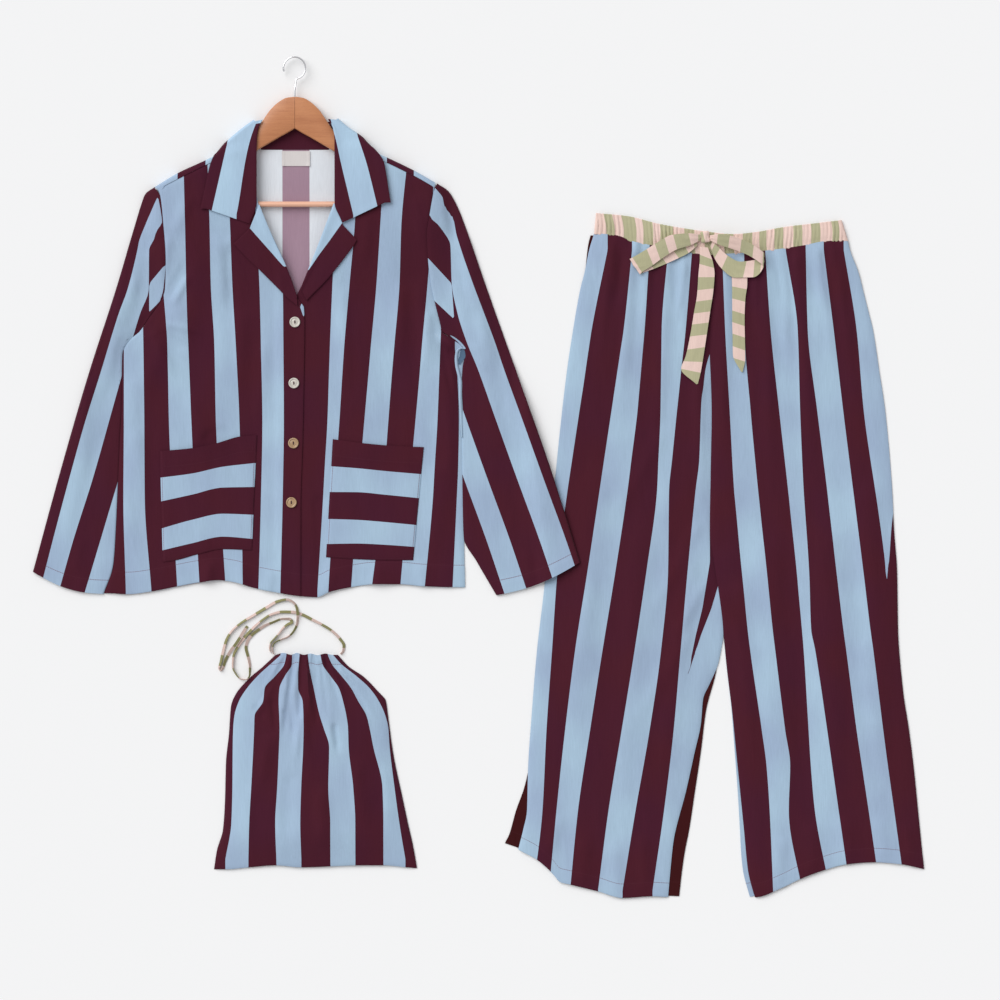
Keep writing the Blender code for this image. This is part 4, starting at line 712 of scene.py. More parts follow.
def panel_grid(columns, shares, left, right, hem, top):
    """Plan points of a panel: each column climbs from the hem to the top edge."""
    u = np.asarray(columns, float)[None, :]
    foot, head = 0.0, ABOVE_ALL
    for _ in range(7):
        foot, head = hem(between(left(foot), right(foot), u)), top(between(left(head), right(head), u))
    y = between(foot, head, np.asarray(shares, float)[:, None])
    return between(left(y), right(y), u), y


def spread(count, edge=0.006):
    """Shares from 0 to 1, with two close ones at each edge so that the edge can round over."""
    return np.concatenate([[0, edge], np.linspace(2.6 * edge, 1 - 2.6 * edge, count), [1 - edge, 1]])


def climb_shares(length, hem_zone, step, fine=2.6):
    """Shares up a panel: close together in its turned hem, wider above."""
    low, high = np.arange(0, hem_zone, fine), np.linspace(hem_zone, length, int((length - hem_zone) / step))
    return np.concatenate([[0, 1.0], low[1:], high]) / length


def hem_turn(distance, depth):
    """The turned-up hem is double, and its stitching pulls in a little."""
    past = distance - depth
    return 0.45 * (1 - ease((past + 1.5) / 3.0)) - 0.35 * np.exp(-((past + 2.0) / 1.8) ** 2)


print("columns", len(spread(50)), "rows", len(climb_shares(640, 40, 5)))

# %% [markdown]
# ## The shirt's back
#
# The back is cut a little longer than the front: it comes forward over the shoulders, so the
# shoulder seam lies on the front of the hanger's arms. Its columns run up the back, round the top
# of the shoulder and down to that seam. Inside the neck its wrong side shows, where the dye is
# paler, so its two faces have two materials.

# %% The back panel
Climb = namedtuple("Climb", "out stop")  # where a column of the back ends beside its neck edge
BACK_NECK_Y = 670.5
BACK_NECK_LEFT = -66.0
BACK_NECK_RIGHT = 42.0
BACK_CLIMB = table(Climb, (0, 0.35), (4.5, 1), (9, 3), (12, 5), (15, 6))
# Over the shoulder: how far below the fold, and the share of the height between the layers.
SHOULDER_ROUND = ((7, 0), (3.4, 0.06), (1.2, 0.2), (0, 0.5), (1.0, 0.8), (3.0, 0.94), (7, 1))
COLLAR_UNDER = LAYER_WALL + GAP  # the back is lifted by this where the collar lies beneath it
BACK_STRIPES = stripe_rows((295.5, -222, -187.5, -145.5, -109.5, -70.5, -30.8, 9.8, 47.2, 87, 126, 166.5))
UNDER_HALF, UNDER_SOFT = 215.0, 60.0  # half the width that the collar lifts, and its soft edge
UNDER_FROM, UNDER_RISE = 590.0, 44.0  # the height where that begins, and how long it takes


def under_collar(x, y):
    """1 where the back lies on the collar's hidden half, 0 away from it."""
    middle = 0.5 * (BACK_NECK_LEFT + BACK_NECK_RIGHT)
    return ease((UNDER_HALF - np.abs(x - middle)) / UNDER_SOFT) * ease((y - UNDER_FROM) / UNDER_RISE)


def back_points():
    """The outer face of the back, column by column, from the hem to the shoulder seam."""
    left_x, right_x = float(left_of_body(700)), float(right_of_body(700))
    turns = [(BACK_NECK_LEFT - c.out - left_x) / (right_x - left_x) for c in BACK_CLIMB[::-1]]
    turns += [(BACK_NECK_RIGHT + c.out - left_x) / (right_x - left_x) for c in BACK_CLIMB]
    shares = sorted(set(np.round(np.linspace(0, 1, 84), 4)) | set(np.round(turns, 4)))
    columns = []
    for u in shares:
        x_head = between(left_x, right_x, u)
        fold_y, seam_y = float(shoulder_fold(x_head)), float(front_head(x_head)) + 0.4
        beside = max(BACK_NECK_LEFT - x_head, x_head - BACK_NECK_RIGHT, 0)
        start_y = min(fold_y - 14, BACK_NECK_Y - 16)
        foot_y = float(body_hem(between(left_of_body(10.0), right_of_body(10.0), u)))
        y = np.linspace(foot_y, start_y, 76)
        x = between(left_of_body(y), right_of_body(y), u)
        lower = grid(x, y, 0.1 + COLLAR_UNDER * under_collar(x, y))
        low = 0.1 + float(COLLAR_UNDER * under_collar(x_head, start_y))
        high = float(shirt_top(x_head, seam_y)) + 0.25
        over = [(fold_y - below, between(low, high, share)) for below, share in SHOULDER_ROUND]
        path = np.array([(start_y, low), *over, (seam_y, high)])
        away = np.concatenate([[0], np.cumsum(np.hypot(*np.diff(path, axis=0).T))])
        stop = float(np.interp(beside, [c.out for c in BACK_CLIMB], [c.stop for c in BACK_CLIMB])) / 6
        at = np.linspace(0.03, 1, 26) * np.interp(stop, [0, 0.06, 0.17, 0.5, 0.83, 1],
                                                  [0.05 * away[-1], away[1], away[3], away[4], away[5], away[-1]])
        y, z = np.interp(at, away, path[:, 0]), np.interp(at, away, path[:, 1])
        x = between(left_of_body(y), right_of_body(y), u)
        columns.append(np.concatenate([lower, grid(x, y, z)]))
    return np.stack(columns, axis=1)


back_outer = back_points()
across_back = facing(back_outer)
back_inner = back_outer + across_back * math.copysign(CLOTH_WALL, across_back[3, 3, 2])
back_inner[:, :, 2] = np.maximum(back_inner[:, :, 2], back_outer[:, :, 2] - CLOTH_WALL)
x, y = back_outer[:, :, 0], back_outer[:, :, 1]
shirt_back = cloth("shirt_back_panel", (back_outer, back_inner), SHIRT_PLACE,
                   marked(stripe_side(x, y, BACK_STRIPES, BURGUNDY_FIRST), run=y), (striped, striped_inside))
covers(shirt_back, "striped_cotton", "shirt_back")
print("shirt back", round(cloth_area(shirt_back), 4), "m2")

# %% [markdown]
# ## The two fronts
#
# Each front is a panel from its turned hem to the shoulder seam, with its side seam and armhole
# on one side and its front edge on the other. The left one laps over the right one where it
# buttons. The stripes were cut straight, but the cloth lies in soft waves, so on the lying shirt
# they lean, spread and narrow: the table gives where each stripe changes at several heights.

# %% Fronts: edges, rise and stripes
FRONT_LEFT_EDGE = table(At,
    (0, -3.5), (142, -3.3), (231, -0.5), (321, 1.3), (406, 2.5), (434, 1.5), (448, -8), (502, -27.5), (558, -53),
    (592, -67), (615, -71), (655, -74), (684, -76.5))
FRONT_RIGHT_EDGE = table(At,
    (0, -27), (300, -27), (430, -26), (446, -14), (462, -4.5), (496, 10.8), (559, 35.8), (591, 48), (620, 50),
    (686, 54))
PLACKET_RAISE = LAYER_WALL + GAP + 0.6  # the left front lies on the right one along the buttons
PLACKET_FROM, PLACKET_TO = -46.0, -31.5
ARMHOLE_FOOT_LEFT, ARMHOLE_FOOT_RIGHT = 399, 396
FRONT_LEFT_STRIPES = stripe_rows(
    (648, -271.5, -243, -219, -178.5, -142.5, -112.5, -72, -36),
    (558, -271.5, -243, -216, -176.2, -139.5, -108.8, -69.8, -33.8),
    (468, -270, -241.5, -210, -174.8, -138, -105.8, -65.2, -30),
    (378, -268.5, -239.2, -203.2, -171.8, -132.8, -100.5, -63, -29.2),
    (265.5, -268.5, -237.8, -201, -167.2, -130.5, -95.2, -60.8, -28.5),
    (145.5, -269.2, -237, -195.8, -162, -124.5, -92.2, -63, -30.3),
    (10.5, -265.5, -227.2, -188.2, -154.5, -115.5, -90, -66.8, -33.8))
FRONT_RIGHT_STRIPES = stripe_rows(
    (648, 52.5, 82.5, 121.5, 156, 196.5, 223.5, 250.5), (558, 49.5, 78, 116.2, 147.8, 193.5, 217.5, 244.5),
    (468, 44.2, 69.8, 110.2, 144.8, 186.8, 210, 238.5), (378, 40.5, 62.2, 102, 137.2, 178.5, 206.2, 228),
    (330, 38.9, 58.9, 97.9, 133.1, 174.6, 204.3, 231.8), (265.5, 36.8, 54.8, 92.2, 128.2, 168.8, 201.8, 234),
    (200, 33, 50.2, 86.5, 123.3, 162.6, 197.9, 232.9), (145.5, 30, 46.5, 81.8, 119.2, 157.5, 194.7, 230.6),
    (10.5, 21.8, 38.2, 72, 102.8, 145.5, 182.2, 224.2))
SHIRT_HEM_DEPTH = 33.0
front_left_edge, front_right_edge = down(FRONT_LEFT_EDGE), down(FRONT_RIGHT_EDGE)


def placket(x):
    """The left front's rise onto the right one."""
    return PLACKET_RAISE * ease((x - PLACKET_FROM) / (PLACKET_TO - PLACKET_FROM))


def side_drop(x, y, side_line, armhole_foot):
    """How far a front sinks to its side seam, and less where it meets the sleeve."""
    side = np.abs(x - side_line(y))
    return np.where(y < armhole_foot, edge_drop(side), 0.9 * to_edge(side, 4))


def front_left_top(x, y):
    """Upper face of the left front."""
    return shirt_top(x, y) - side_drop(x, y, left_of_body, ARMHOLE_FOOT_LEFT) + placket(x)


def front_right_top(x, y):
    """Upper face of the right front."""
    return shirt_top(x, y) - side_drop(x, y, right_of_body, ARMHOLE_FOOT_RIGHT)


def front(name, left, right, height, rows, outlines, front_edge):
    """A front panel with its stripes, hem and stitching."""
    x, y = panel_grid(spread(96, 0.004), climb_shares(640, 42, 3.6), left, right, body_hem, front_head)
    from_hem, from_head = y - body_hem(x), front_head(x) - y
    z = height(x, y) + hem_turn(from_hem, SHIRT_HEM_DEPTH) - 0.7 * to_edge(from_head, 3)
    z -= 0.5 * to_edge(from_hem, 2.2) + 0.5 * to_edge(np.abs(x - front_edge(y)), 2.2)
    marks = marked(stripe_side(x, y, rows, BURGUNDY_FIRST), patches(x, y, outlines), from_hem - SHIRT_HEM_DEPTH, x)
    return cloth(name + "_panel", two_faces(grid(x, y, z)), SHIRT_PLACE, marks, (striped, striped_inside))


def one_piece(name, parts):
    """Several bodies as one object."""
    bpy.ops.object.select_all(action="DESELECT")
    for part in parts:
        part.select_set(True)
    bpy.context.view_layer.objects.active = parts[0]
    bpy.ops.object.join()
    parts[0].name = name
    return parts[0]


UNDERARM_ROLL = table(Point,
    (221, 392.4, 0.5), (227, 388.4, 1.4), (237, 380, 1.7), (243.5, 372.5, 1.0), (238, 373.5, 1.4),
    (231.5, 369, 2.0), (229.8, 358, 2.2), (230.4, 348, 2.3), (233.4, 335, 2.4), (236.4, 322, 2.5), (236, 306, 2.6),
    (237, 286, 2.6), (238, 262, 2.2), (238.5, 240, 1.0))  # x, y and half the width
# A dark strip inside the curl of the underarm roll: painted shade, where the curl's hollow lies in shadow.
UNDERARM_SHADE_STRIP = table(Point,
    (236, 372, 1.0), (239.5, 368, 3.4), (239.5, 362, 4.2), (236.5, 356, 3.4), (234.6, 349, 1.2))


def rolled_edge(name, rows, lift, material):
    """The edge of the right front's seam, rolled outward under the arm and turned back there, or the dark strip of
    painted shade inside that curl.
    """
    x, y, half = through(rows, np.linspace(0, len(rows) - 1, 120))
    ahead = np.gradient(np.concatenate([x, y], 1), axis=0)
    ahead /= np.linalg.norm(ahead, axis=1, keepdims=True)
    s = np.linspace(-1, 1, 9)[None, :]
    px, py = x - ahead[:, 1:] * half * s, y + ahead[:, :1] * half * s
    pz = front_right_top(px, py) + 0.9 + lift * np.sqrt(1 - 0.96 * s * s) + 0.4 * np.sin(y / 9)
    return cloth(name, two_faces(grid(px, py, pz)), SHIRT_PLACE, marked(ALL_BLUE), (material,))


LAPEL_LEFT_SLIVER = ((-4.5, 436.5), (3, 446), (9, 440), (0.8, 420))
shirt_front_left = front("shirt_front_left", left_of_body, front_left_edge, front_left_top, FRONT_LEFT_STRIPES,
                         [LAPEL_LEFT_SLIVER], front_left_edge)
shirt_front_right = front("shirt_front_right", front_right_edge, right_of_body, front_right_top, FRONT_RIGHT_STRIPES,
                          [], front_right_edge)
shirt_front_right = one_piece("shirt_front_right_panel", [
    shirt_front_right, rolled_edge("underarm_roll", UNDERARM_ROLL, 1.9, striped),
    # This dark strip is painted shade inside the curl.
    rolled_edge("underarm_shade_strip", UNDERARM_SHADE_STRIP, -0.6, striped_curl_shade)])
covers(shirt_front_left, "striped_cotton", "shirt_front_left")
covers(shirt_front_right, "striped_cotton", "shirt_front_right")
print("fronts", round(cloth_area(shirt_front_left), 4), round(cloth_area(shirt_front_right), 4), "m2")

# %% [markdown]
# ## The sleeves
#
# A sleeve is cut flat, sewn to a tube and lies pressed nearly flat, creased along its two edges.
# Its rings fan out from the armhole to the cuff, and each ring runs over the top and back
# underneath. Its cloth was cut with the stripes along the arm, so they run at a slant here. At the
# armhole the top of the sleeve is gathered under, which brings other stripes to the front.

# %% Sleeve edges and stripes
Rim = namedtuple("Rim", "at x y")  # an edge of a sleeve, at = share of its length
SLEEVE_LEFT_OUTER = table(Rim,
    (0, -222, 615), (0.035, -236, 605), (0.07, -242.5, 589), (0.12, -252, 558), (0.25, -278.5, 468),
    (0.5, -322, 333), (0.75, -365, 185), (1, -405, 38))
SLEEVE_LEFT_INNER = table(Rim,
    (0, -243.5, 398.5), (0.12, -248.5, 394.6), (0.2, -253, 390.8), (0.29, -258.5, 385), (0.36, -265, 378),
    (0.43, -270.6, 364), (0.5, -271.4, 338), (0.57, -271.8, 290), (0.66, -274.8, 230), (0.75, -277.6, 166),
    (0.86, -280.8, 98), (0.94, -284.4, 48), (1, -299, 5))
SLEEVE_RIGHT_OUTER = table(Rim,
    (0, 201, 620.5), (0.035, 218, 609), (0.07, 232, 585), (0.12, 243.5, 556), (0.25, 274, 468), (0.5, 322, 333),
    (0.75, 369, 200), (1, 415.5, 52.5))
SLEEVE_RIGHT_INNER = table(Rim,
    (0, 206.5, 399), (0.12, 211.5, 395.8), (0.2, 218.5, 391), (0.29, 227.5, 383.5), (0.36, 237, 376.5),
    (0.42, 243, 364), (0.49, 239.2, 344), (0.57, 237.5, 300), (0.68, 238.5, 222), (0.78, 239.4, 140),
    (0.86, 241, 90), (0.93, 262, 51), (1, 290, 3))
CUFF_DROP_LEFT = 9.0  # the cuff's middle below the straight line between its corners
CUFF_DROP_RIGHT = 8.0
SLEEVE_LEFT_STRIPES = stripe_rows(
    (600, -217.5, -216.8, -130, -110), (579, -226.8, -212.7, -130, -110), (559.5, -235.5, -210.5, -140, -120),
    (550, -239.5, -218.5, -145, -125), (534, -245.7, -223.8, -150, -130), (523.5, -247.5, -230.4, -150, -130),
    (462, -262.5, -231.1, -170, -150), (426, -275.5, -243.8, -195, -170), (391.5, -286.5, -254.5, -212, -190),
    (342, -301.5, -268.8, -227, -205), (265.5, -325.5, -290.2, -249.9, -226), (175.5, -351, -315.8, -276.8, -250),
    (85.5, -375, -344.2, -303.6, -275.4), (3, -396, -367.5, -328.4, -295.2))
SLEEVE_RIGHT_STRIPES = stripe_rows(
    (615, 68.2, 103.5, 183, 196.2), (599.4, 81.5, 116.7, 186, 209.5), (585, 93.8, 129, 188.2, 212.4),
    (568.8, 101.8, 137.1, 190.5, 225.3), (560.1, 105, 140.2, 201, 227.2), (546.8, 109.8, 145.2, 211.5, 229.5),
    (528.6, 116.5, 151.8, 221.1, 234.8), (472.2, 136.7, 171.9, 223, 254.2), (426.2, 153.5, 188.7, 231.6, 271.5),
    (384.2, 168, 203.2, 245, 287.2), (342, 183.5, 218.7, 262.2, 301.5), (265.5, 210, 245.2, 289.5, 329.2),
    (175.5, 242.2, 277.5, 321.8, 361.5), (85.5, 275.2, 310.5, 354.8, 394.5), (3, 303, 338.2, 382.5, 422.2))
CAP_LEFT_BLUE = ((-204.8, 500), (-230.5, 470.2), (-230.5, 427.5), (-214.4, 443.4), (-209.5, 458.7))
CAP_RIGHT_BLUE = ((186, 510), (223, 470.2), (226.8, 416.7), (196.2, 445.3), (187.5, 463.5))
SLEEVE_CREASES = table(Fold,
    (-238, 541, -230, 520, 6, -0.6), (-228, 549, -212, 546, 5, 0.8), (-222, 556, -240, 500, 7, -1.0),
    (-228, 560, -226, 530, 5, 1.2), (-250, 480, -268, 390, 9, 1.3), (-232, 420, -262, 372, 7, -1.4),
    (-275, 400, -300, 300, 9, 1.1), (-320, 330, -350, 210, 12, 1.1), (-300, 250, -330, 130, 11, -0.8),
    (-340, 160, -360, 60, 12, 1.0), (-330, 90, -345, 30, 9, 0.9), (214, 590, 232, 530, 6, -1.2),
    (206, 590, 216, 545, 5, 1.1), (232, 520, 246, 440, 7, -1.0), (240, 500, 262, 400, 9, 1.2),
    (262, 420, 290, 320, 9, 1.1), (256, 380, 276, 340, 7, 1.4), (300, 350, 330, 230, 12, 1.0),
    (290, 230, 330, 110, 11, -0.8), (340, 160, 376, 60, 12, 1.1), (330, 70, 350, 20, 10, 1.0))


def rim(rows):
    """A point on a sleeve's edge from its share of the length."""
    at = [r.at for r in rows]
    return Line(at, [r.x for r in rows]), Line(at, [r.y for r in rows])


CUFF_LIFT = 8.2  # the right cuff lies on the trousers' left leg
CUFF_LIFT_FROM = 344.0
CUFF_LIFT_TO = 365.0


def over_trousers(x, y):
    """Height that the right sleeve gains to pass over the trousers."""
    return CUFF_LIFT * ease((x + 0.12 * (y - 60) - CUFF_LIFT_FROM) / (CUFF_LIFT_TO - CUFF_LIFT_FROM))


print("the right cuff passes", CUFF_LIFT, "mm above the floor, over the trousers")

# %% The two sleeves
SLEEVE_HEM_DEPTH = 17.0
SLEEVE_ROUNDING = 3.2  # how far in from its creased edges a sleeve rounds over
ARMHOLE_REACH = 0.24  # the share of its length by which a sleeve's rings are straight


def all_round(top, under):
    """Rings that run over the top and back underneath, with each edge once."""
    return np.concatenate([top, under[:, ::-1][:, 1:-1]], axis=1)


def sleeve(name, outer_rows, inner_rows, armhole, cuff_drop, lift, rows, cap):
    """A flattened tube from the armhole to the cuff, open at both ends."""
    outer_x, outer_y = rim(outer_rows)
    inner_x, inner_y = rim(inner_rows)
    at = np.concatenate([np.linspace(0, 0.3, 34)[:-1], np.linspace(0.3, 0.955, 66)[:-1], np.linspace(0.955, 1, 14)])
    ox, oy, ix, iy = (line(at)[:, None] for line in (outer_x, outer_y, inner_x, inner_y))
    width = np.hypot(ix - ox, iy - oy)
    near = np.array([0, 0.25, 0.8, 1.7, 3.0, 5.0])
    t = np.concatenate([near / width, np.broadcast_to(np.linspace(0.06, 0.94, 30), (len(at), 30)),
                        1 - near[::-1] / width], axis=1)
    bow = np.maximum(0.0, 1 - at / ARMHOLE_REACH)[:, None] ** 2
    chord_x, chord_y = between(outer_x(0), inner_x(0), t), between(outer_y(0), inner_y(0), t)
    x = between(ox, ix, t) + bow * ease(t / 0.04) * ease((1 - t) / 0.04) * (armhole(chord_y) - chord_x)
    y = between(oy, iy, t) - cuff_drop * ease((at[:, None] - 0.8) / 0.2) * np.sin(math.pi * t)
    from_cuff = (1 - at[:, None]) * np.hypot(outer_x(1) - outer_x(0), outer_y(1) - outer_y(0))
    from_edge = np.minimum(t, 1 - t) * width
    round_over = np.sqrt(1 - to_edge(from_edge, SLEEVE_ROUNDING))
    rise = lift(x, y)
    dip = 0.9 * (2 - ease(t * width / 16) - ease((1 - t) * width / 16)) * (1 - bow)
    full = shirt_top(x, y) - dip + 0.5 + rise + CREASE_DEPTH * fold_height(x, y, SLEEVE_CREASES)
    full += 0.25 * ripple(x - 0.3 * y, y, 34, 260, 9)
    full += hem_turn(from_cuff, SLEEVE_HEM_DEPTH) - 0.9 * to_edge(at[:, None], 0.010)
    low = rise + 0.1
    middle = 0.45 * (full + low)
    points = all_round(grid(x, y, between(middle, full, round_over)), grid(x, y, between(middle, low, round_over)))
    wall_share = np.clip(CLOTH_WALL / width, 0, 0.02)
    shift = np.clip(t, wall_share, 1 - wall_share) - t
    squeeze = np.maximum(1 - CLOTH_WALL / np.maximum(np.abs(np.stack([full - middle, low - middle])), 1e-6), 0.1)
    in_x, in_y = x + (ix - ox) * shift, y + (iy - oy) * shift
    inner = all_round(grid(in_x, in_y, between(middle, full, round_over * squeeze[0])),
                      grid(in_x, in_y, between(middle, low, round_over * squeeze[1])))
    px, py = points[:, :, 0], points[:, :, 1]
    walked = all_round(from_cuff + 0 * x, from_cuff + 0 * x)
    marks = marked(stripe_side(px, py, rows, BURGUNDY_FIRST), patches(px, py, [cap]), walked - SLEEVE_HEM_DEPTH, px)
    piece = cloth(name + "_tube", (points, inner), SHIRT_PLACE, marks, (striped, striped_inside), ring=True)
    return covers(piece, "striped_cotton", name)


shirt_sleeve_left = sleeve("shirt_sleeve_left", SLEEVE_LEFT_OUTER, SLEEVE_LEFT_INNER, left_of_body, CUFF_DROP_LEFT,
                           lambda x, y: 0.0 * x, SLEEVE_LEFT_STRIPES, CAP_LEFT_BLUE)
shirt_sleeve_right = sleeve("shirt_sleeve_right", SLEEVE_RIGHT_OUTER, SLEEVE_RIGHT_INNER, right_of_body,
                            CUFF_DROP_RIGHT, over_trousers, SLEEVE_RIGHT_STRIPES, CAP_RIGHT_BLUE)
print("sleeves", round(cloth_area(shirt_sleeve_left), 4), round(cloth_area(shirt_sleeve_right), 4), "m2")

# %% [markdown]
# ## Collar and lapels
#
# The collar is one strip of double cloth: behind the neck it stands on the neck seam, rolls over
# and hangs down behind, and at each side it comes forward and lies down as a pointed wing. The
# lapels are the turned-back tops of the fronts. A flap is lofted from its folded edge to its free
# edge through a few stations, with a soft roll at the fold and a turned, thicker free edge.

# %% Collar and lapel tables
Station = namedtuple("Station", "x y out_x out_y turn")  # a flap from its fold to its free edge
WING_LEFT = table(Station,
    (-79.5, 559.5, -153, 582, 0), (-69, 591, -148.5, 601.5, 0), (-69, 618, -144, 623, 0), (-69, 642, -140, 642, 0),
    (-69, 664, -133, 661, 0), (-68.5, 686, -112.5, 680, 1), (-66.5, 702, -87, 701.5, 1), (-60.5, 715, -71, 713, 1))
WING_RIGHT = table(Station,
    (60, 561, 132, 591, 0), (48, 591, 129, 609, 0), (48, 618, 125.5, 632, 0), (48, 644, 121, 653, 0),
    (48, 666, 108, 671, 0), (48, 686, 84, 689.5, 1), (46, 702, 64, 703, 1), (38.5, 716, 50, 715, 1))
LAPEL_LEFT = table(Station,
    (-65, 588, -103.5, 529.5, 0), (-59.5, 574, -95.5, 521, 0), (-52.5, 557, -84, 509, 0), (-40, 528, -62, 488, 0),
    (-27.5, 501.5, -41, 467, 0), (-16, 472, -22, 448, 0), (-9, 450, -8, 437, 0))
LAPEL_RIGHT = table(Station,
    (47, 590.5, 81, 535.5, 0), (41, 575, 74.5, 524.5, 0), (34.8, 558, 66, 513, 0), (22.5, 526, 47, 489, 0),
    (10.4, 496, 31, 471, 0), (1.5, 474, 14, 454, 0), (-3, 463, 5.5, 445, 0))
LAPEL_LEFT_NOTCH = Over(-78.3, 553)  # two thirds along the lapel's first row
LAPEL_RIGHT_NOTCH = Over(60.5, 557)
# The back of the collar, from the neck seam over the roll to its free edge.
Turn = namedtuple("Turn", "left right y z")
COLLAR_ROLL = table(Turn,
    (-63, 39, BACK_NECK_Y + 0.4, 2.1), (-64.5, 41.5, 685, 2.1), (-65.5, 43, 698, 2.1), (-65, 42.5, 706, 2.5),
    (-63.5, 41, 711, 2.7), (-62.5, 40, 712.6, 1.7), (-63.5, 41, 711, 0.7), (-68, 46, 704, 0.6),
    (-98, 74, 690, 0.6), (-124, 98, 668, 0.6), (-136, 110, 652, 0.6))
ON_TOP = LAYER_WALL + GAP + 0.25  # upper face of a piece above the face that it lies on
TURN_REACH = 8.8  # mm, what the wing's outer edge needs to turn down behind the neck
TURN_DOWN = ((1.0, 0.08), (1.8, 0.22), (2.6, 0.52), (2.0, 0.82), (-4.5, 1.0))  # how far out, share of the fall
TURN_BOTTOM = 0.9
FREE_EDGE_DROP = 0.35
COLLAR_LEFT_STRIPES = stripe_rows((718, -103.8, -56), (711, -105.4, -56), (709, -105.9, -70), (573, -137.4, -99))
COLLAR_RIGHT_STRIPES = stripe_rows(
    (717.3, 41, 74), (693.5, 47.8, 81.4), (651.6, 57.1, 95.3), (602.5, 68.8, 107.9), (573, 75.8, 114.9))
LAPEL_LEFT_BLUE = ((-66.5, 612), (-80.2, 554), (-28.5, 495.5), (-6, 495.5), (-36, 612))
LAPEL_RIGHT_BLUE = ((47, 612), (64.5, 567), (58.5, 559.5), (41.2, 535.5), (23.2, 511.5), (9, 490.5), (-6, 486),
                    (0, 612))


def flap(stations, height, notch=None, lift=1.2):
    """Points of a flap from its folded edge to its free edge; turn wraps it down at the free edge."""
    t = np.linspace(0, len(stations) - 1, 64)
    x, y, ox, oy, turn = through(stations, t)
    aside = math.copysign(1.0, float(ox[0, 0] - x[0, 0]))
    turns = any(s.turn for s in stations)
    if turns:
        ox = ox - aside * TURN_REACH * (1 - turn)
    s = np.concatenate([[0, 0.03, 0.08], np.linspace(0.14, 1, 22)])[None, :]
    px, py = between(x, ox, s), between(y, oy, s)
    if notch:
        bend, first = np.maximum(1 - t[:, None], 0) * np.minimum(1.5 * s, 3 * (1 - s)), stations[0]
        px = px + bend * (notch.x - between(first.x, first.out_x, 2 / 3))
        py = py + bend * (notch.y - between(first.y, first.out_y, 2 / 3))
    roll = 1.2 * (1 - ease(s / 0.3)) - 0.9 * to_edge(s, 0.05)
    pz = height(px, py) + roll - LAYER_WALL / 2 + lift * ease(s / 0.8) * (1 - turn)
    parts = [grid(px, py, pz)]
    for k, (out, fall) in enumerate(TURN_DOWN if turns else ()):
        flat = TURN_REACH * (k + 1) / len(TURN_DOWN) * (1 - turn)
        ex, ey = ox + aside * (out * turn + flat), oy + 0.8 * out * turn
        ez = height(ex, ey) - LAYER_WALL / 2 + lift
        parts.append(grid(ex, ey, between(ez, between(pz[:, -1:], TURN_BOTTOM, fall), turn)))
    return np.concatenate(parts, axis=1)


def flap_edges(points):
    """Lets the free edges of a flap round down."""
    lowered = points.copy()
    lowered[:, -1, 2] -= FREE_EDGE_DROP
    lowered[0, :, 2] -= FREE_EDGE_DROP
    return lowered


def collar_height(x, y):
    """Upper face of the collar's wings."""
    return shirt_top(x, y) + placket(x) + ON_TOP


print("a wing lies", ON_TOP, "mm above the front")

# %% The collar
def collar_parts():
    """The wings and the roll behind the neck, as one joined piece."""
    parts = []
    for rows, stripes in ((WING_LEFT, COLLAR_LEFT_STRIPES), (WING_RIGHT, COLLAR_RIGHT_STRIPES)):
        points = flap_edges(flap(rows, collar_height, lift=2.4))
        stripe = stripe_side(points[:, :, 0], points[:, :, 1], stripes, BURGUNDY_FIRST)
        # The wings and the roll take the collar cloth, whose lighter blue is painted light.
        parts.append(cloth("collar_wing", two_faces(points, LAYER_WALL, square=True), SHIRT_PLACE, marked(stripe),
                           (striped_lit_collar,)))
    low, high, y, z = through(COLLAR_ROLL, np.linspace(0, len(COLLAR_ROLL) - 1, 60))
    x = between(low, high, np.linspace(0, 1, 40)[None, :])
    parts.append(cloth("collar_roll", two_faces(grid(x, y + 0 * x, z + 0 * x), 1.0, square=True), SHIRT_PLACE,
                       marked(ALL_BURGUNDY), (striped_lit_collar,)))
    return parts


shirt_collar = covers(one_piece("shirt_collar_cloth", collar_parts()), "striped_cotton", "shirt_collar")
print("collar", round(cloth_area(shirt_collar), 4), "m2")

# %% The lapels
lapels = []
for name, rows, notch, height, blue in (
        ("shirt_lapel_left", LAPEL_LEFT, LAPEL_LEFT_NOTCH, front_left_top, [LAPEL_LEFT_BLUE]),
        ("shirt_lapel_right", LAPEL_RIGHT, LAPEL_RIGHT_NOTCH, front_right_top, [LAPEL_RIGHT_BLUE])):
    points = flap_edges(flap(rows, lambda x, y, h=height: h(x, y) + ON_TOP, notch))
    marks = marked(ALL_BURGUNDY, patches(points[:, :, 0], points[:, :, 1], blue))
    # The lapels take the collar cloth too, whose lighter blue is painted light.
    piece = cloth(name + "_cloth", two_faces(points, LAYER_WALL, square=True), SHIRT_PLACE, marks, (striped_lit_collar,))
    lapels.append(covers(piece, "striped_cotton", name))
print("lapels", [round(cloth_area(p), 4) for p in lapels], "m2")

# %% [markdown]
# ## Patch pockets
#
# The pockets are cut from the same cloth turned a quarter round, so their stripes run across. Each
# is sewn on along three sides, with a deep hem at its mouth. The pocket's points are made from the
# front's own height, so it follows every fold, and its mouth stands a little open.

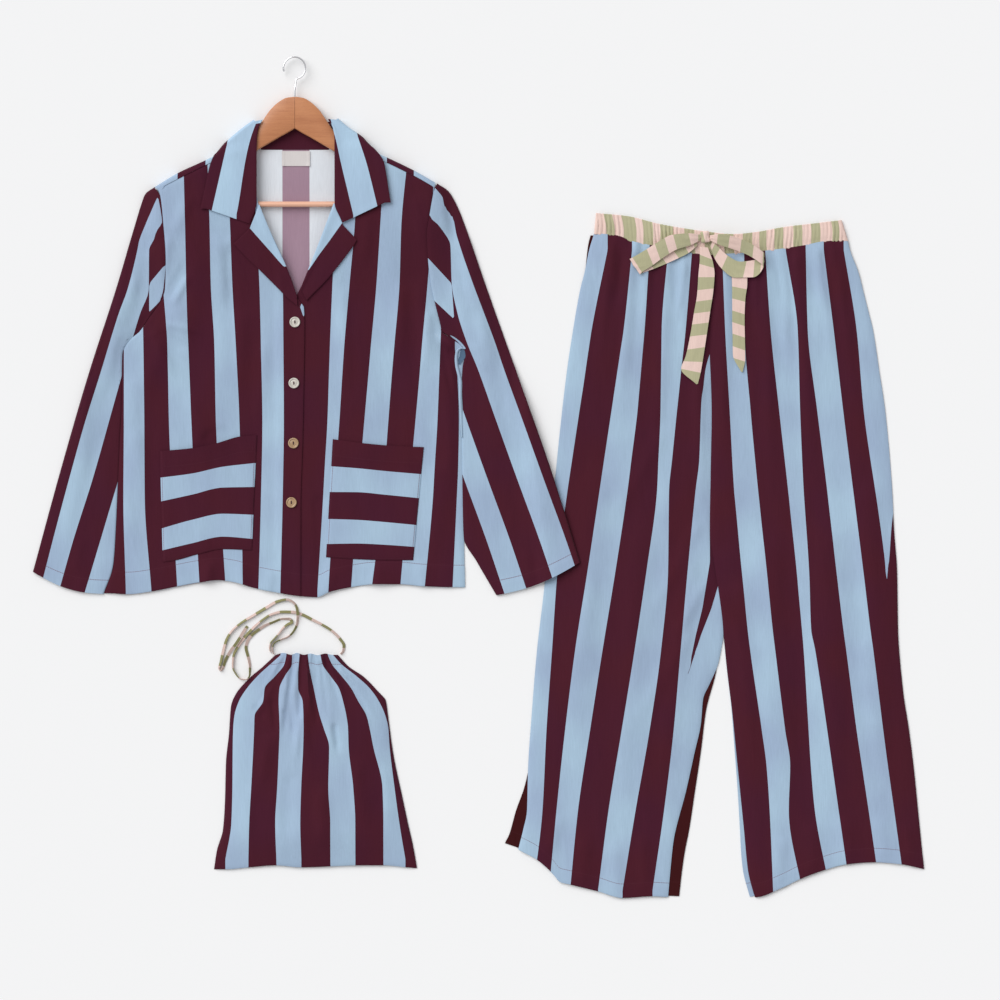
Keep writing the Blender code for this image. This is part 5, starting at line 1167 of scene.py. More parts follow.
# %% The pockets
POCKET_LEFT = {
    "left": table(At, (50, -210), (220, -214.5)), "right": table(At, (68, -76.5), (244, -69)),
    "top": table(Over, (-215, 219), (-166, 223.5), (-129, 231), (-94, 241), (-69, 243)),
    "hem": table(Over, (-210, 52.5), (-190, 55.5), (-157, 64.5), (-120, 72), (-76, 70.5))}
POCKET_RIGHT = {
    "left": table(At, (58, 34.5), (240, 45)), "right": table(At, (52, 165), (228, 181.5)),
    "top": table(Over, (44, 237), (90, 231), (135, 227), (182, 225)),
    "hem": table(Over, (34, 60), (80, 57), (125, 55.5), (166, 55.5))}
POCKET_LEFT_STRIPES = stripe_rows(
    (-214, 69.5, 102.5, 143.4, 179.2), (-166, 81, 116.1, 153.9, 185.5), (-120, 90.8, 125.2, 164.4, 195.6),
    (-74, 87.4, 123.6, 165.3, 201))
POCKET_RIGHT_STRIPES = stripe_rows(
    (36, 79.8, 117.4, 157.8, 196.8), (80, 80.5, 116, 157.5, 193.5), (125, 78.5, 112.5, 153.5, 189),
    (176, 74.8, 107.6, 148.3, 184.6))
POCKET_HEM = 24.0
POCKET_WIDTH = 140.0
POCKET_STITCH_IN = 2.4  # from the pocket's edge to its stitching


def pocket(name, edge, height, rows, gape):
    """A patch pocket on a front panel."""
    left, right, hem, top = down(edge["left"]), down(edge["right"]), across(edge["hem"]), across(edge["top"])
    x, y = panel_grid(spread(34, 0.012), spread(46, 0.010), left, right, hem, top)
    share = (x - left(y)) / (right(y) - left(y))
    from_side, from_mouth, from_foot = np.minimum(share, 1 - share) * POCKET_WIDTH, top(x) - y, y - hem(x)
    sewn = np.minimum(from_side, from_foot)
    z = height(x, y) + ON_TOP + 0.5 * ease(sewn / 9) - 0.9 * to_edge(sewn, 2.5)
    z += gape * np.sin(math.pi * np.clip(share, 0, 1)) ** 2 * np.exp(-np.maximum(from_mouth, 0) / 22)
    z += 0.4 * (1 - ease((from_mouth - POCKET_HEM + 1.5) / 3.0)) + 0.2 * ripple(x, y, 40, 60, 12)
    at_hem, at_side = from_mouth - POCKET_HEM, sewn - POCKET_STITCH_IN
    stitch = np.where(np.abs(at_hem) < np.abs(at_side), at_hem, at_side)
    marks = marked(stripe_side(y, x, rows, BURGUNDY_FIRST), stitch=stitch, run=x + y)
    piece = cloth(name + "_patch", two_faces(grid(x, y, z), 0.9), SHIRT_PLACE, marks, (striped,))
    return covers(piece, "striped_cotton", name)


pockets = [pocket("shirt_pocket_left", POCKET_LEFT, front_left_top, POCKET_LEFT_STRIPES, 4.2),
           pocket("shirt_pocket_right", POCKET_RIGHT, front_right_top, POCKET_RIGHT_STRIPES, 1.4)]
print("pockets", [round(cloth_area(p), 4) for p in pockets], "m2")

# %% [markdown]
# ## Buttons
#
# A shirt button is turned from shell: a rounded rim round a shallow dish, with two drilled holes
# and two loops of thread across them. The rim is revolved from a profile; the flat floor of the
# dish is filled round its holes. Pearl is not one colour: noise moves it between grey, cream and
# tan, and a light coat gives its gloss.

# %% Pearl and thread
def pearl_material(name, light, dark):
    """Shell with cloudy layers under a glossy coat."""
    made, tree, shader, place = new_material(name)
    cloud = noise(tree, place, 260.0, 3.0)
    band = node(tree, "ShaderNodeTexWave", {"Vector": place, "Scale": 42.0, "Distortion": 6.0}).outputs["Fac"]
    layers = sums(tree, "MULTIPLY_ADD", band, 0.35, sums(tree, "MULTIPLY", cloud, 0.65))
    plug(tree, shader, {
        "Base Color": blended(tree, layers, light, dark), "Roughness": sums(tree, "MULTIPLY_ADD", cloud, 0.15, 0.22),
        "Normal": bump(tree, cloud, 0.2, 0.0002), "Coat Weight": 0.35, "Coat Roughness": 0.12})
    return made


grey_pearl = pearl_material("button_pearl_grey", (0.76, 0.70, 0.63), (0.44, 0.42, 0.37))
tan_pearl = pearl_material("button_pearl_tan", (0.50, 0.34, 0.19), (0.33, 0.19, 0.10))
thread_material, tree, shader, place = new_material("sewing_thread")
twist = node(tree, "ShaderNodeTexWave", {"Vector": place, "Scale": 500.0}, bands_direction="DIAGONAL").outputs["Fac"]
plug(tree, shader, {"Base Color": blended(tree, twist, (0.045, 0.014, 0.02), (0.09, 0.03, 0.04)),
                    "Normal": bump(tree, twist, 0.4, 0.0001), "Roughness": 0.7})
print("pearl in two tones, and thread")

# %% Four buttons and their thread
BUTTONS = table(Over, (-12, 412.5), (-13.5, 321), (-14.2, 231), (-17.2, 142))
BUTTON_RADIUS = 8.0
BUTTON_RIM = [(6.2, 0.05), (7.1, 0.0), (7.6, 0.2), (7.9, 0.7), (8.0, 1.2), (7.9, 1.75), (7.6, 2.15), (7.15, 2.36),
              (6.6, 2.4), (6.1, 2.25), (5.8, 1.85), (5.5, 1.5), (5.1, 1.35), (4.6, 1.42), (4.2, 1.6)]
HOLE_APART = 1.5
HOLE_RADIUS = 1.0
THREAD_RADIUS = 0.5


def button_mesh(name, place, height):
    """A turned button as one closed body with two holes."""
    around, turns = 48, 14
    bm = bmesh.new()

    def ring(above, radius, z, count):
        return [bm.verts.new(((place.x + radius * math.cos(a)) * MM + SHIRT_PLACE[0],
                              (place.y + above + radius * math.sin(a)) * MM + SHIRT_PLACE[1], (height + z) * MM))
                for a in np.linspace(0, 2 * math.pi, count, endpoint=False)]

    def skin(low, high):
        for k in range(len(low)):
            bm.faces.new((low[k], low[(k + 1) % len(low)], high[(k + 1) % len(low)], high[k]))

    rings = [ring(0, radius, z, around) for radius, z in BUTTON_RIM]
    for low, high in zip(rings, rings[1:]):
        skin(low, high)
    holes = []
    for outline, (_, z) in ((rings[0], BUTTON_RIM[0]), (rings[-1], BUTTON_RIM[-1])):
        inner = [ring(side * HOLE_APART, HOLE_RADIUS, z, turns) for side in (-1, 1)]
        edges = [bm.edges.new((loop[k], loop[(k + 1) % turns])) for loop in inner for k in range(turns)]
        edges += [bm.edges.get((outline[k], outline[(k + 1) % around])) for k in range(around)]
        bmesh.ops.triangle_fill(bm, edges=edges, use_beauty=True)
        holes.append(inner)
    for low, high in zip(*holes):
        skin(low, high)
    mesh = bpy.data.meshes.new(name)
    finish_mesh(bm, mesh, 40)
    return mesh


def wire(name, radius, roundness, points):
    """A round thread or wire along points of the shirt's frame."""
    curve = bpy.data.curves.new(name, "CURVE")
    curve.dimensions, curve.use_fill_caps = "3D", True
    curve.bevel_depth, curve.bevel_resolution = radius * MM, roundness
    spline = curve.splines.new("POLY")
    spline.points.add(len(points) - 1)
    for spot, point in zip(spline.points, points):
        spot.co = (*metres(point, SHIRT_PLACE), 1)
    return curve


def thread_loop(name, place, height, shift):
    """A short loop of thread from one hole to the other."""
    reach = HOLE_APART + 0.2
    return wire(name, THREAD_RADIUS, 3, [(place.x + shift * (1 - 0.6 * t * t), place.y + t * reach,
                                          height + 1.9 - 1.6 * abs(t) ** 6) for t in np.linspace(-1, 1, 13)])


for k, spot in enumerate(BUTTONS):
    height = float(front_left_top(np.array(spot.x), np.array(spot.y))) + GAP
    name = f"shirt_button_{k + 1}"
    piece = link(name + "_shell", button_mesh(name + "_shell", spot, height), grey_pearl if k < 2 else tan_pearl)
    covers(piece, "button_pearl", name)
    for shift in (-0.5, 0.5):
        loop = thread_loop(name + "_thread", spot, height, shift)
        thread = link(f"{name}_thread_{'a' if shift < 0 else 'b'}", loop, thread_material)
print(len(BUTTONS), "buttons of", 2 * BUTTON_RADIUS, "mm")

# %% [markdown]
# ## The neck label
#
# A woven label is a short satin ribbon with its ends folded under, stitched inside the back of
# the neck. It is left without words. Its weave is finer than the shirt's, and it curls a little
# at its lower corners.

# %% The label
label_cloth, tree, shader, place = new_material("label_satin")
satin = blended(tree, slubs(tree, place, 1400.0), (0.62, 0.575, 0.565), (0.72, 0.675, 0.665))
plug(tree, shader, {"Base Color": satin, "Normal": weave_bump(tree, place, 0.3), "Roughness": 0.55})
LABEL_X, LABEL_Y, LABEL_TOP = (-31.5, 10.5), (646.5, 669.0), 3.9
LABEL_WALL = 0.4
u, v = np.meshgrid(np.linspace(0, 1, 40), np.linspace(0, 1, 26))
x, y = between(*LABEL_X, u), between(*LABEL_Y, v)
corner = (1 - ease(v / 0.35)) * (1 - ease(np.minimum(u, 1 - u) / 0.2))
folded_under = 0.35 * (1 - ease((np.minimum(u, 1 - u) - 0.09) / 0.02))
z = LABEL_TOP - 0.5 + 0.55 * corner + folded_under + 0.12 * np.sin(9 * u + 2 * v)
label = cloth("shirt_label_ribbon", two_faces(grid(x, y, z), LABEL_WALL), SHIRT_PLACE, {"run": x}, (label_cloth,))
covers(label, "label_cloth", "shirt_neck_label")
print("label", LABEL_X[1] - LABEL_X[0], "by", LABEL_Y[1] - LABEL_Y[0], "mm")

# %% [markdown]
# ## The hanger
#
# The hanger is two shaped arms of beech, joined in the middle of the crown, with a thin round bar
# between their ends and a wire hook. The arms are lofted from rounded sections: a table gives
# their upper and lower line. The grain runs along each arm, so its noise is stretched that way.

# %% Wood and wire
def wood_material(name, slant, light, dark, edge):
    """Beech with its grain along the arm, under a thin satin lacquer."""
    made, tree, shader, place = new_material(name)

    def stretched(share):
        turn = {"Vector": place, "Rotation": (0, 0, math.radians(slant)), "Scale": (share, 1.0, 1.0)}
        return node(tree, "ShaderNodeMapping", turn).outputs[0]

    along = stretched(0.09)
    grain, broad = noise(tree, along, 420.0, 4.0), noise(tree, along, 55.0)
    rays = noise(tree, stretched(0.35), 1500.0, 1.0)
    shade = sums(tree, "MULTIPLY_ADD", grain, 0.7, sums(tree, "MULTIPLY_ADD", broad, 0.9, -0.35))
    flecks = sums(tree, "MULTIPLY", sums(tree, "GREATER_THAN", rays, 0.66), 0.35)
    plug(tree, shader, {
        "Base Color": blended(tree, flecks, blended(tree, shade, light, dark), edge),
        "Roughness": sums(tree, "MULTIPLY_ADD", grain, 0.18, 0.34), "Normal": bump(tree, grain, 0.25, 0.0002),
        "Coat Weight": 0.15, "Coat Roughness": 0.3})
    return made


BEECH = ((0.64, 0.275, 0.120), (0.40, 0.135, 0.052), (0.26, 0.08, 0.03))
ARM_SLANT = 40  # degrees, the fall of an arm
beech_left = wood_material("beech_left", -ARM_SLANT, *BEECH)
beech_right = wood_material("beech_right", ARM_SLANT, *BEECH)
beech_bar = wood_material("beech_bar", 0.0, (0.90, 0.52, 0.37), (0.78, 0.42, 0.28), (0.6, 0.3, 0.19))
steel, tree, shader, place = new_material("plated_wire")
drawn = noise(tree, place, 900.0)
plug(tree, shader, {"Base Color": blended(tree, drawn, (0.70, 0.70, 0.72), (0.82, 0.82, 0.84)),
                    "Roughness": sums(tree, "MULTIPLY_ADD", drawn, 0.14, 0.16),
                    "Normal": bump(tree, drawn, 0.15, 0.0001), "Metallic": 1.0})
print("beech in three cuts, and plated wire")

# %% The arms, bar and hook
Bar = namedtuple("Bar", "out top bottom")  # hanger arm: distance from the middle, upper and lower line
ARM = table(Bar,
    (0.2, 750, 702), (12, 748.5, 695), (24, 742, 688.5), (36, 731, 681.5), (48, 714, 674.5), (58, 699, 668.5),
    (72, 683, 660), (90, 668, 648), (112, 656, 633), (135, 645, 618), (158, 633, 606), (175.9, 623, 597),
    (176.2, 622.8, 581), (188, 614, 577), (196, 602, 584))
WIRE_RADIUS = 1.6
WIRE_SHARE = 0.85  # of that radius, because bright wire looks broader than it is
CORNER = 3.0  # the rounding of an arm's long edges, mm
AROUND = 28  # points round a section


def arm_mesh(name, side):
    """One arm, lofted from rounded sections."""
    out = np.array([bar.out for bar in ARM])
    fine = np.unique(np.concatenate([np.linspace(0.2, 175.8, 56), [175.9, 176.2], np.linspace(176.6, 196, 12)]))
    tops, bottoms = Line(out, [bar.top for bar in ARM])(fine), np.interp(fine, out, [bar.bottom for bar in ARM])
    angles = np.linspace(0, 2 * math.pi, AROUND, endpoint=False)
    rings = []
    for reach, top, bottom in zip(fine, tops, bottoms):
        low, high = HANGER_LIFT, float(arm_top(reach))
        tip = min(1.0, math.sqrt(max(1 - (max(reach - 190, 0) / 6.4) ** 2, 0.02)))
        half_y, half_z = (top - bottom) / 2 * tip, (high - low) / 2
        corner = min(CORNER, half_y * 0.9)
        cy = (half_y - corner) * np.sign(np.round(np.cos(angles), 6)) + corner * np.cos(angles)
        cz = (half_z - corner) * np.sign(np.round(np.sin(angles), 6)) + corner * np.sin(angles)
        rings.append(grid(np.full(AROUND, HANGER_X + side * reach), (top + bottom) / 2 + cy, (low + high) / 2 + cz))
    verts = metres(np.array(rings).reshape(-1, 3), SHIRT_PLACE)
    faces = [(i * AROUND + j, i * AROUND + k, (i + 1) * AROUND + k, (i + 1) * AROUND + j)
             for i in range(len(rings) - 1) for j, k in zip(range(AROUND), [*range(1, AROUND), 0])]
    faces += [tuple(range(AROUND)), tuple(range((len(rings) - 1) * AROUND, len(rings) * AROUND))]
    mesh = bpy.data.meshes.new(name)
    mesh.from_pydata(verts.tolist(), [], faces)
    bm = bmesh.new()
    bm.from_mesh(mesh)
    finish_mesh(bm, mesh, 35)
    return mesh


for name, side, beech in (("hanger_arm_left", -1, beech_left), ("hanger_arm_right", 1, beech_right)):
    covers(link(name + "_beech", arm_mesh(name + "_beech", side), beech), "hanger_wood", name)
for slot in bpy.data.objects["hanger_bar"].material_slots:
    slot.material = beech_bar
HOOK_CENTRE_X = HANGER_X - 0.5
HOOK_CENTRE_Y = 793.0
HOOK_RADIUS = 16.5
HOOK_Z = HANGER_LIFT + ARM_THICK_MIDDLE / 2
HOOK_FROM, HOOK_SWEEP, HOOK_STEPS = -80, 278, 72  # degrees, and the steps along the bend


def hook_curve(name):
    """The wire: up out of the crown, round to the right, over the top and down on the left."""
    points = [(HANGER_X, ARM[0].top + z, HOOK_Z) for z in (0.3, 4, 9)]
    for k in range(HOOK_STEPS + 1):
        angle = math.radians(HOOK_FROM + HOOK_SWEEP * k / HOOK_STEPS)
        points.append((HOOK_CENTRE_X + HOOK_RADIUS * math.cos(angle),
                       HOOK_CENTRE_Y + HOOK_RADIUS * math.sin(angle), HOOK_Z))
    return wire(name, WIRE_RADIUS * WIRE_SHARE, 6, points)


covers(link("hanger_hook_wire", hook_curve("hanger_hook_wire"), steel), "hook_steel", "hanger_hook")
print("hook opens", round(2 * (HOOK_RADIUS - WIRE_RADIUS), 1), "mm wide")

# %% [markdown]
# ## The trousers' legs
#
# Each leg has a front and a back panel, joined at the outer side and along the inside leg. Laid
# flat, the back shows only as a narrow strip beyond the front, at the inside leg and beside one
# hem; there its burgundy is painted near black, as painted shade. Under the elastic waist the
# cloth stands in small gathers, which run out into a few long soft folds down the leg: the gathers
# are close waves that fade, the folds are rows of a table.

# %% Leg tables
TROUSERS_LEFT_OUTER = table(At,
    (0, -303), (36, -296), (70, -289.5), (100, -282), (130, -276), (190, -274.5), (280, -268.5), (370, -261),
    (460, -250.5), (610, -235.5), (700, -226.5), (790, -216), (850, -207), (910, -196.5), (940, -189), (970, -183),
    (995, -175.5))
TROUSERS_LEFT_INNER = table(At,
    (0, -64.5), (40, -61), (70, -58), (86, -56), (160, -37.3), (220, -24), (255, -16), (266, -14.6), (297, -12),
    (320, -2), (349, 10.4), (370, 14.8), (392, 18.2), (400, 18.5), (460, 11.5), (505, 4.5), (550, -1.7),
    (633, -0.4), (730, 1.1), (817, -1.9), (965, -7.3))
RIGHT_INNER_ABOVE = table(At,  # the same for the front and the back
    (340, 24), (400, 18), (460, 11), (505, 4), (550, -2.2), (633, -0.9), (730, 0.6), (817, -2.4), (965, -7.8))
TROUSERS_RIGHT_INNER = table(At,
    (0, 66), (9, 63), (40, 55.5), (100, 49.5), (160, 43.5), (220, 37.5), (280, 31.5)) + RIGHT_INNER_ABOVE
TROUSERS_RIGHT_OUTER = table(At,
    (42, 319.5), (70, 316.5), (130, 310.5), (190, 304.5), (250, 297), (310, 288), (400, 280.5), (490, 279),
    (550, 274.5), (610, 271.5), (670, 267), (730, 261), (790, 252), (850, 243), (880, 235.5), (910, 228),
    (940, 220), (970, 208.5), (986, 205))
TROUSERS_LEFT_HEM = table(Over,
    (-303, 84), (-289.5, 72), (-262, 57), (-238, 36), (-226, 22.5), (-213, 19.5), (-170, 9), (-132, -1), (-88, 1.5),
    (-60, 0))
TROUSERS_RIGHT_HEM = table(Over,
    (60, 0), (66, 0), (105, 13.5), (133, 27), (169, 40.5), (204, 49.5), (246, 52.5), (285, 49.5), (320, 42))
BACK_LEFT_OUTER = table(At,
    (60, -313), (81, -309), (93, -303), (130, -292.5), (165, -280), (200, -272.5), (280, -266.5), (370, -259),
    (460, -248.5), (610, -233.5), (700, -224.5), (790, -214), (850, -205), (910, -194.5), (940, -188.5),
    (965, -186), (980, -184), (995, -180))
BACK_LEFT_INNER = table(At,
    (0, -48), (40, -43.5), (70, -39), (100, -33), (160, -24), (220, -15), (280, -7.5), (340, 8), (370, 12),
    (400, 14.5), (460, 5.5), (505, 0.5), (550, -3.6), (633, -2.1), (730, -0.6), (817, -3.6), (965, -9))
BACK_RIGHT_INNER = table(At,
    (0, 58.5), (10, 55.5), (40, 48), (70, 45), (100, 43.5), (160, 40), (220, 35.5), (280, 31)) + RIGHT_INNER_ABOVE
BACK_LEFT_HEM = table(Over,
    (-309, 81), (-289, 74), (-262, 60), (-226, 26), (-170, 12), (-132, 3), (-88, 3), (-60, 2), (-46, 1.5))
BACK_RIGHT_HEM = table(Over,
    (55, 0), (70, 3), (105, 16), (133, 30), (169, 43), (204, 52), (246, 55), (285, 52), (320, 44))
WAIST_LOWER = table(Over,
    (-176, 994.5), (-141, 991), (-120, 983), (-88, 976), (-31, 965), (-9, 962.5), (33, 964), (75, 967.5),
    (112, 972), (141, 976.5), (168, 982), (206, 984))
WAIST_UPPER = table(Over,
    (-173, 1026), (-126, 1021.5), (-79, 1010), (-43, 1003.5), (-12, 999), (33, 994.5), (67, 997.5), (109, 1005),
    (159, 1011), (196, 1015.5))
TROUSERS_TROUGH = 1.1  # mm, the deepest that a crease of the trousers may sink
TROUSERS_FOLDS = table(Fold,
    (-150, 985, -170, 760, 9, 2.8), (-118, 980, -140, 700, 10, 3.2), (-96, 972, -104, 800, 8, 2.6),
    (-66, 968, -84, 640, 11, 3.2), (-40, 960, -40, 780, 8, 2.6), (-22, 955, -16, 560, 9, 3.0),
    (22, 955, 18, 640, 9, 2.8), (48, 960, 50, 760, 8, 2.6), (80, 962, 92, 600, 11, 3.4),
    (104, 968, 118, 780, 8, 2.8), (132, 972, 150, 640, 10, 3.2), (160, 978, 186, 760, 9, 2.8),
    (184, 978, 212, 800, 8, 2.4), (-170, 640, -215, 160, 26, 4.2), (-104, 560, -140, 90, 24, 4.0),
    (-30, 520, -78, 120, 18, 3.6), (84, 540, 112, 100, 22, 4.0), (168, 560, 190, 120, 26, 4.4),
    (232, 620, 262, 160, 18, 3.6), (40, 470, 70, 150, 13, 2.8))
TROUSERS_CREASES = table(Fold,
    (-2, 770, -6, 500, 7, -0.9), (-40, 950, -52, 860, 5, 1.5), (100, 960, 112, 850, 5, -1.6),
    (124, 960, 134, 860, 5, 1.5), (168, 965, 180, 880, 5, -1.6), (64, 950, 70, 860, 5, 1.3),
    (-130, 965, -142, 880, 5, -1.3), (-70, 700, -150, 560, 12, 1.2), (-20, 560, -90, 420, 11, 1.4),
    (-10, 470, -60, 380, 9, 1.6), (-30, 400, -120, 250, 13, 1.3), (-180, 480, -214, 300, 14, 1.0),
    (20, 520, 80, 400, 12, 1.5), (14, 460, 50, 360, 9, 1.6), (60, 380, 96, 240, 12, 1.2),
    (150, 420, 176, 260, 13, 1.0), (230, 380, 250, 200, 12, 1.2), (-230, 120, -246, 60, 10, 1.6),
    (-190, 90, -196, 10, 12, 1.8), (-146, 80, -140, 2, 11, 1.4), (-104, 90, -98, 4, 10, 1.3),
    (104, 90, 100, 20, 11, 1.5), (150, 110, 156, 40, 12, 1.8), (196, 120, 210, 55, 12, 1.7),
    (250, 120, 262, 56, 11, 1.4), (294, 110, 300, 50, 9, 1.2), (70, 880, 60, 700, 8, 0.9),
    (150, 900, 168, 760, 9, 1.0), (-140, 900, -158, 760, 9, 1.0), (8, 900, 14, 700, 7, 0.9),
    (200, 860, 222, 700, 10, 1.1))
TROUSERS_LEFT_STRIPES = stripe_rows(
    (970.5, -155.2, -118.5, -92.2, -64.5, -28.5, 9), (850.5, -179.2, -131.2, -99.8, -74.2, -38.2, 3),
    (818, -184.1, -136.1, -102.6, -74.6, -41.7, -1.2), (804, -186.2, -138.2, -103.8, -74.8, -43.3, -5.4),
    (790, -188.2, -140.3, -105, -75, -44.8, -8.6), (764, -192, -144.2, -107.3, -75.4, -47.4, -11.7),
    (748, -194.5, -146.6, -108.7, -75.6, -49.1, -14.2), (730.5, -197.2, -149.2, -110.2, -75.8, -51, -15.2),
    (656, -208.4, -160.4, -119.5, -79, -58.5, -17.8), (610.5, -215.2, -167.2, -125.2, -81, -63, -23.2),
    (490.5, -230.2, -185.2, -143.2, -96.8, -64.5, -35.2), (370.5, -238.5, -204, -162.8, -114.8, -75, -45.8),
    (250.5, -246.8, -219, -181.5, -134.2, -92.2, -56.2), (130.5, -252.8, -231.8, -199.5, -153.8, -113.2, -70.5),
    (10.5, -267, -243, -211.5, -169.5, -132.8, -87.8))
TROUSERS_RIGHT_STRIPES = stripe_rows(
    (970.5, 16.5, 49.5, 81, 111.8, 141.8, 168.8, 198.8, 330),
    (850.5, 21, 50.2, 89.2, 129.8, 144.8, 183.8, 218.2, 330), (730.5, 27.8, 59.2, 102, 133.5, 159, 198, 228.8, 330),
    (610.5, 34.5, 70.5, 115.5, 138.8, 174, 213, 246, 330),
    (590, 36.4, 72.7, 117.7, 140.2, 176.3, 215.6, 249.1, 300),
    (577, 37.7, 74, 119, 141.1, 177.8, 217.2, 251, 273.5),
    (505, 44.4, 81.7, 126.7, 146, 185.9, 226.2, 260.5, 266.9),
    (476, 47.3, 84.7, 129.5, 147.5, 189.3, 229.8, 263.2, 263.9),
    (470, 47.9, 85.3, 130, 147.7, 190, 230.5, 290, 320), (403.5, 54.5, 92, 136, 149.8, 198, 238.5, 290, 320),
    (370.5, 58.5, 96, 138.8, 156, 202.5, 243, 291, 320), (250.5, 76, 111, 146.2, 174, 218.2, 258, 306, 330),
    (198, 83, 118.5, 149.5, 181.5, 226, 265, 312.5, 340),
    (130.5, 87.8, 116.5, 155.5, 191.2, 236.2, 274.5, 321, 350),
    (10.5, 93, 136.5, 178.5, 208.5, 253.5, 291, 336, 360))
BACK_LEFT_STRIPES = stripe_rows((0, -270, -232, -194, -156, -118, -80), (990, -160, -130, -100, -72, -44, -22))
BACK_RIGHT_STRIPES = stripe_rows((0, 100, 140, 180, 220, 260), (990, 30, 66, 102, 138, 172))
INSIDE_LEG_SPIKE = ((14, 556), (-1.9, 556), (-1.7, 502.8), (-13.2, 432.6), (-22.6, 394.7), (-36.2, 329),
                    (-14.6, 394.7), (0.3, 432.6), (11.1, 469), (16, 480))
TROUSERS_HEM_DEPTH = 21.0
WAIST_RISE, WAIST_RISE_FROM, WAIST_RISE_OVER = 1.2, 900.0, 60.0  # the front climbs to the band by this, here
print("trousers are", WAIST_UPPER[0].y, "mm long")

# %% Leg panels
waist_lower, waist_upper = across(WAIST_LOWER), across(WAIST_UPPER)


def trousers_top(x, y):
    """The upper face of the trousers' upper layer."""
    below_band = np.maximum(waist_lower(x) - y, 0)
    gathers = 1.0 * np.exp(-below_band / 55) * ripple(x, y, 15, 900, 21)
    gathers = gathers + 0.5 * np.exp(-below_band / 160) * ripple(x, y, 24, 900, 22)
    creases = CREASE_DEPTH * fold_height(x, y, TROUSERS_CREASES)
    soft = creases + 0.42 * ripple(x, y, 52, 360, 23) + 0.17 * ripple(x, y, 19, 120, 24)
    flat = LAY + LAYER_WALL + WAIST_RISE * ease((y - WAIST_RISE_FROM) / WAIST_RISE_OVER)
    return flat + fold_height(x, y, TROUSERS_FOLDS) + gathers + shallow(soft, TROUSERS_TROUGH)


def trouser_front(name, left_rows, right_rows, hem_rows, rows, before, outlines):
    """A front leg panel, from the hem to just under the waistband."""
    left, right, hem = down(left_rows), down(right_rows), across(hem_rows)
    waist = across([Over(r.x, r.y + 1.5) for r in WAIST_LOWER])
    x, y = panel_grid(spread(66, 0.005), climb_shares(970, 28, 5.2), left, right, hem, waist)
    from_hem = y - hem(x)
    sides = np.minimum(np.abs(x - left(y)), np.abs(x - right(y)))
    z = trousers_top(x, y) - edge_drop(sides, 20) + hem_turn(from_hem, TROUSERS_HEM_DEPTH)
    z -= 0.5 * to_edge(from_hem, 2.2)
    marks = marked(stripe_side(x, y, rows, before), patches(x, y, outlines), from_hem - TROUSERS_HEM_DEPTH, x)
    piece = cloth(name + "_panel", two_faces(grid(x, y, z)), TROUSERS_PLACE, marks, (striped, striped_inside))
    return covers(piece, "striped_cotton", name)


def trouser_back(name, left_rows, right_rows, hem_rows, rows, before):
    """A back leg panel, flat on the surface."""
    left, right, hem = down(left_rows), down(right_rows), across(hem_rows)
    waist = across([Over(r.x, r.y - 2.0) for r in WAIST_LOWER])
    x, y = panel_grid(spread(26, 0.01), climb_shares(970, 28, 9, 5), left, right, hem, waist)
    z = 0.8 + 0.12 * ripple(x, y, 40, 200, 31)
    # Its burgundy is painted shade: near black, though the cloth is the same as the front's.
    marks = marked(stripe_side(x, y, rows, before), stitch=y - hem(x) - TROUSERS_HEM_DEPTH, run=x)
    piece = cloth(name + "_panel", two_faces(grid(x, y, z)), TROUSERS_PLACE, marks, (striped_shaded_back,))
    return covers(piece, "striped_cotton", name)


backs = [trouser_back("trousers_back_left", BACK_LEFT_OUTER, BACK_LEFT_INNER, BACK_LEFT_HEM,
                      BACK_LEFT_STRIPES, BURGUNDY_FIRST),
         trouser_back("trousers_back_right", BACK_RIGHT_INNER, TROUSERS_RIGHT_OUTER, BACK_RIGHT_HEM,
                      BACK_RIGHT_STRIPES, BLUE_FIRST)]
legs = [trouser_front("trousers_front_left", TROUSERS_LEFT_OUTER, TROUSERS_LEFT_INNER, TROUSERS_LEFT_HEM,
                      TROUSERS_LEFT_STRIPES, BLUE_FIRST, [INSIDE_LEG_SPIKE]),
        trouser_front("trousers_front_right", TROUSERS_RIGHT_INNER, TROUSERS_RIGHT_OUTER, TROUSERS_RIGHT_HEM,
                      TROUSERS_RIGHT_STRIPES, BURGUNDY_FIRST, [])]
print("legs", [round(cloth_area(p), 4) for p in backs + legs], "m2")

# %% [markdown]
# ## The waistband
#
# The band is a folded strip of the pink and sage cloth with elastic inside. The elastic pulls the
# cloth into close upright gathers, each a rounded pleat with a sharp valley beside it, and its two
# edges stay a little flatter where they are stitched. It is one ring: gathered over the front and
# flat underneath.

# %% Gathered band
BAND_LOW_X, BAND_TOP_X = (-175.5, 205.5), (-172.5, 196.0)
BAND_HEIGHT = 5.6  # the waistband's own thickness, front and back together
WAIST_STRIPES = stripe_rows(
    (1000.5, -158, -145.5, -132, -113, -102.5, -87.8, -77.2, -57.8, -41.2, -26.2, -10.5, 3.8, 18, 32.2, 46.5, 60.8,
     71.2, 81.8, 93.8, 107.2, 122.2, 135.8, 149.2, 162.8, 180.8, 191.2))
BAND_PLEAT = 6.0  # mm between two gathers
BAND_WIDTH = 370.0


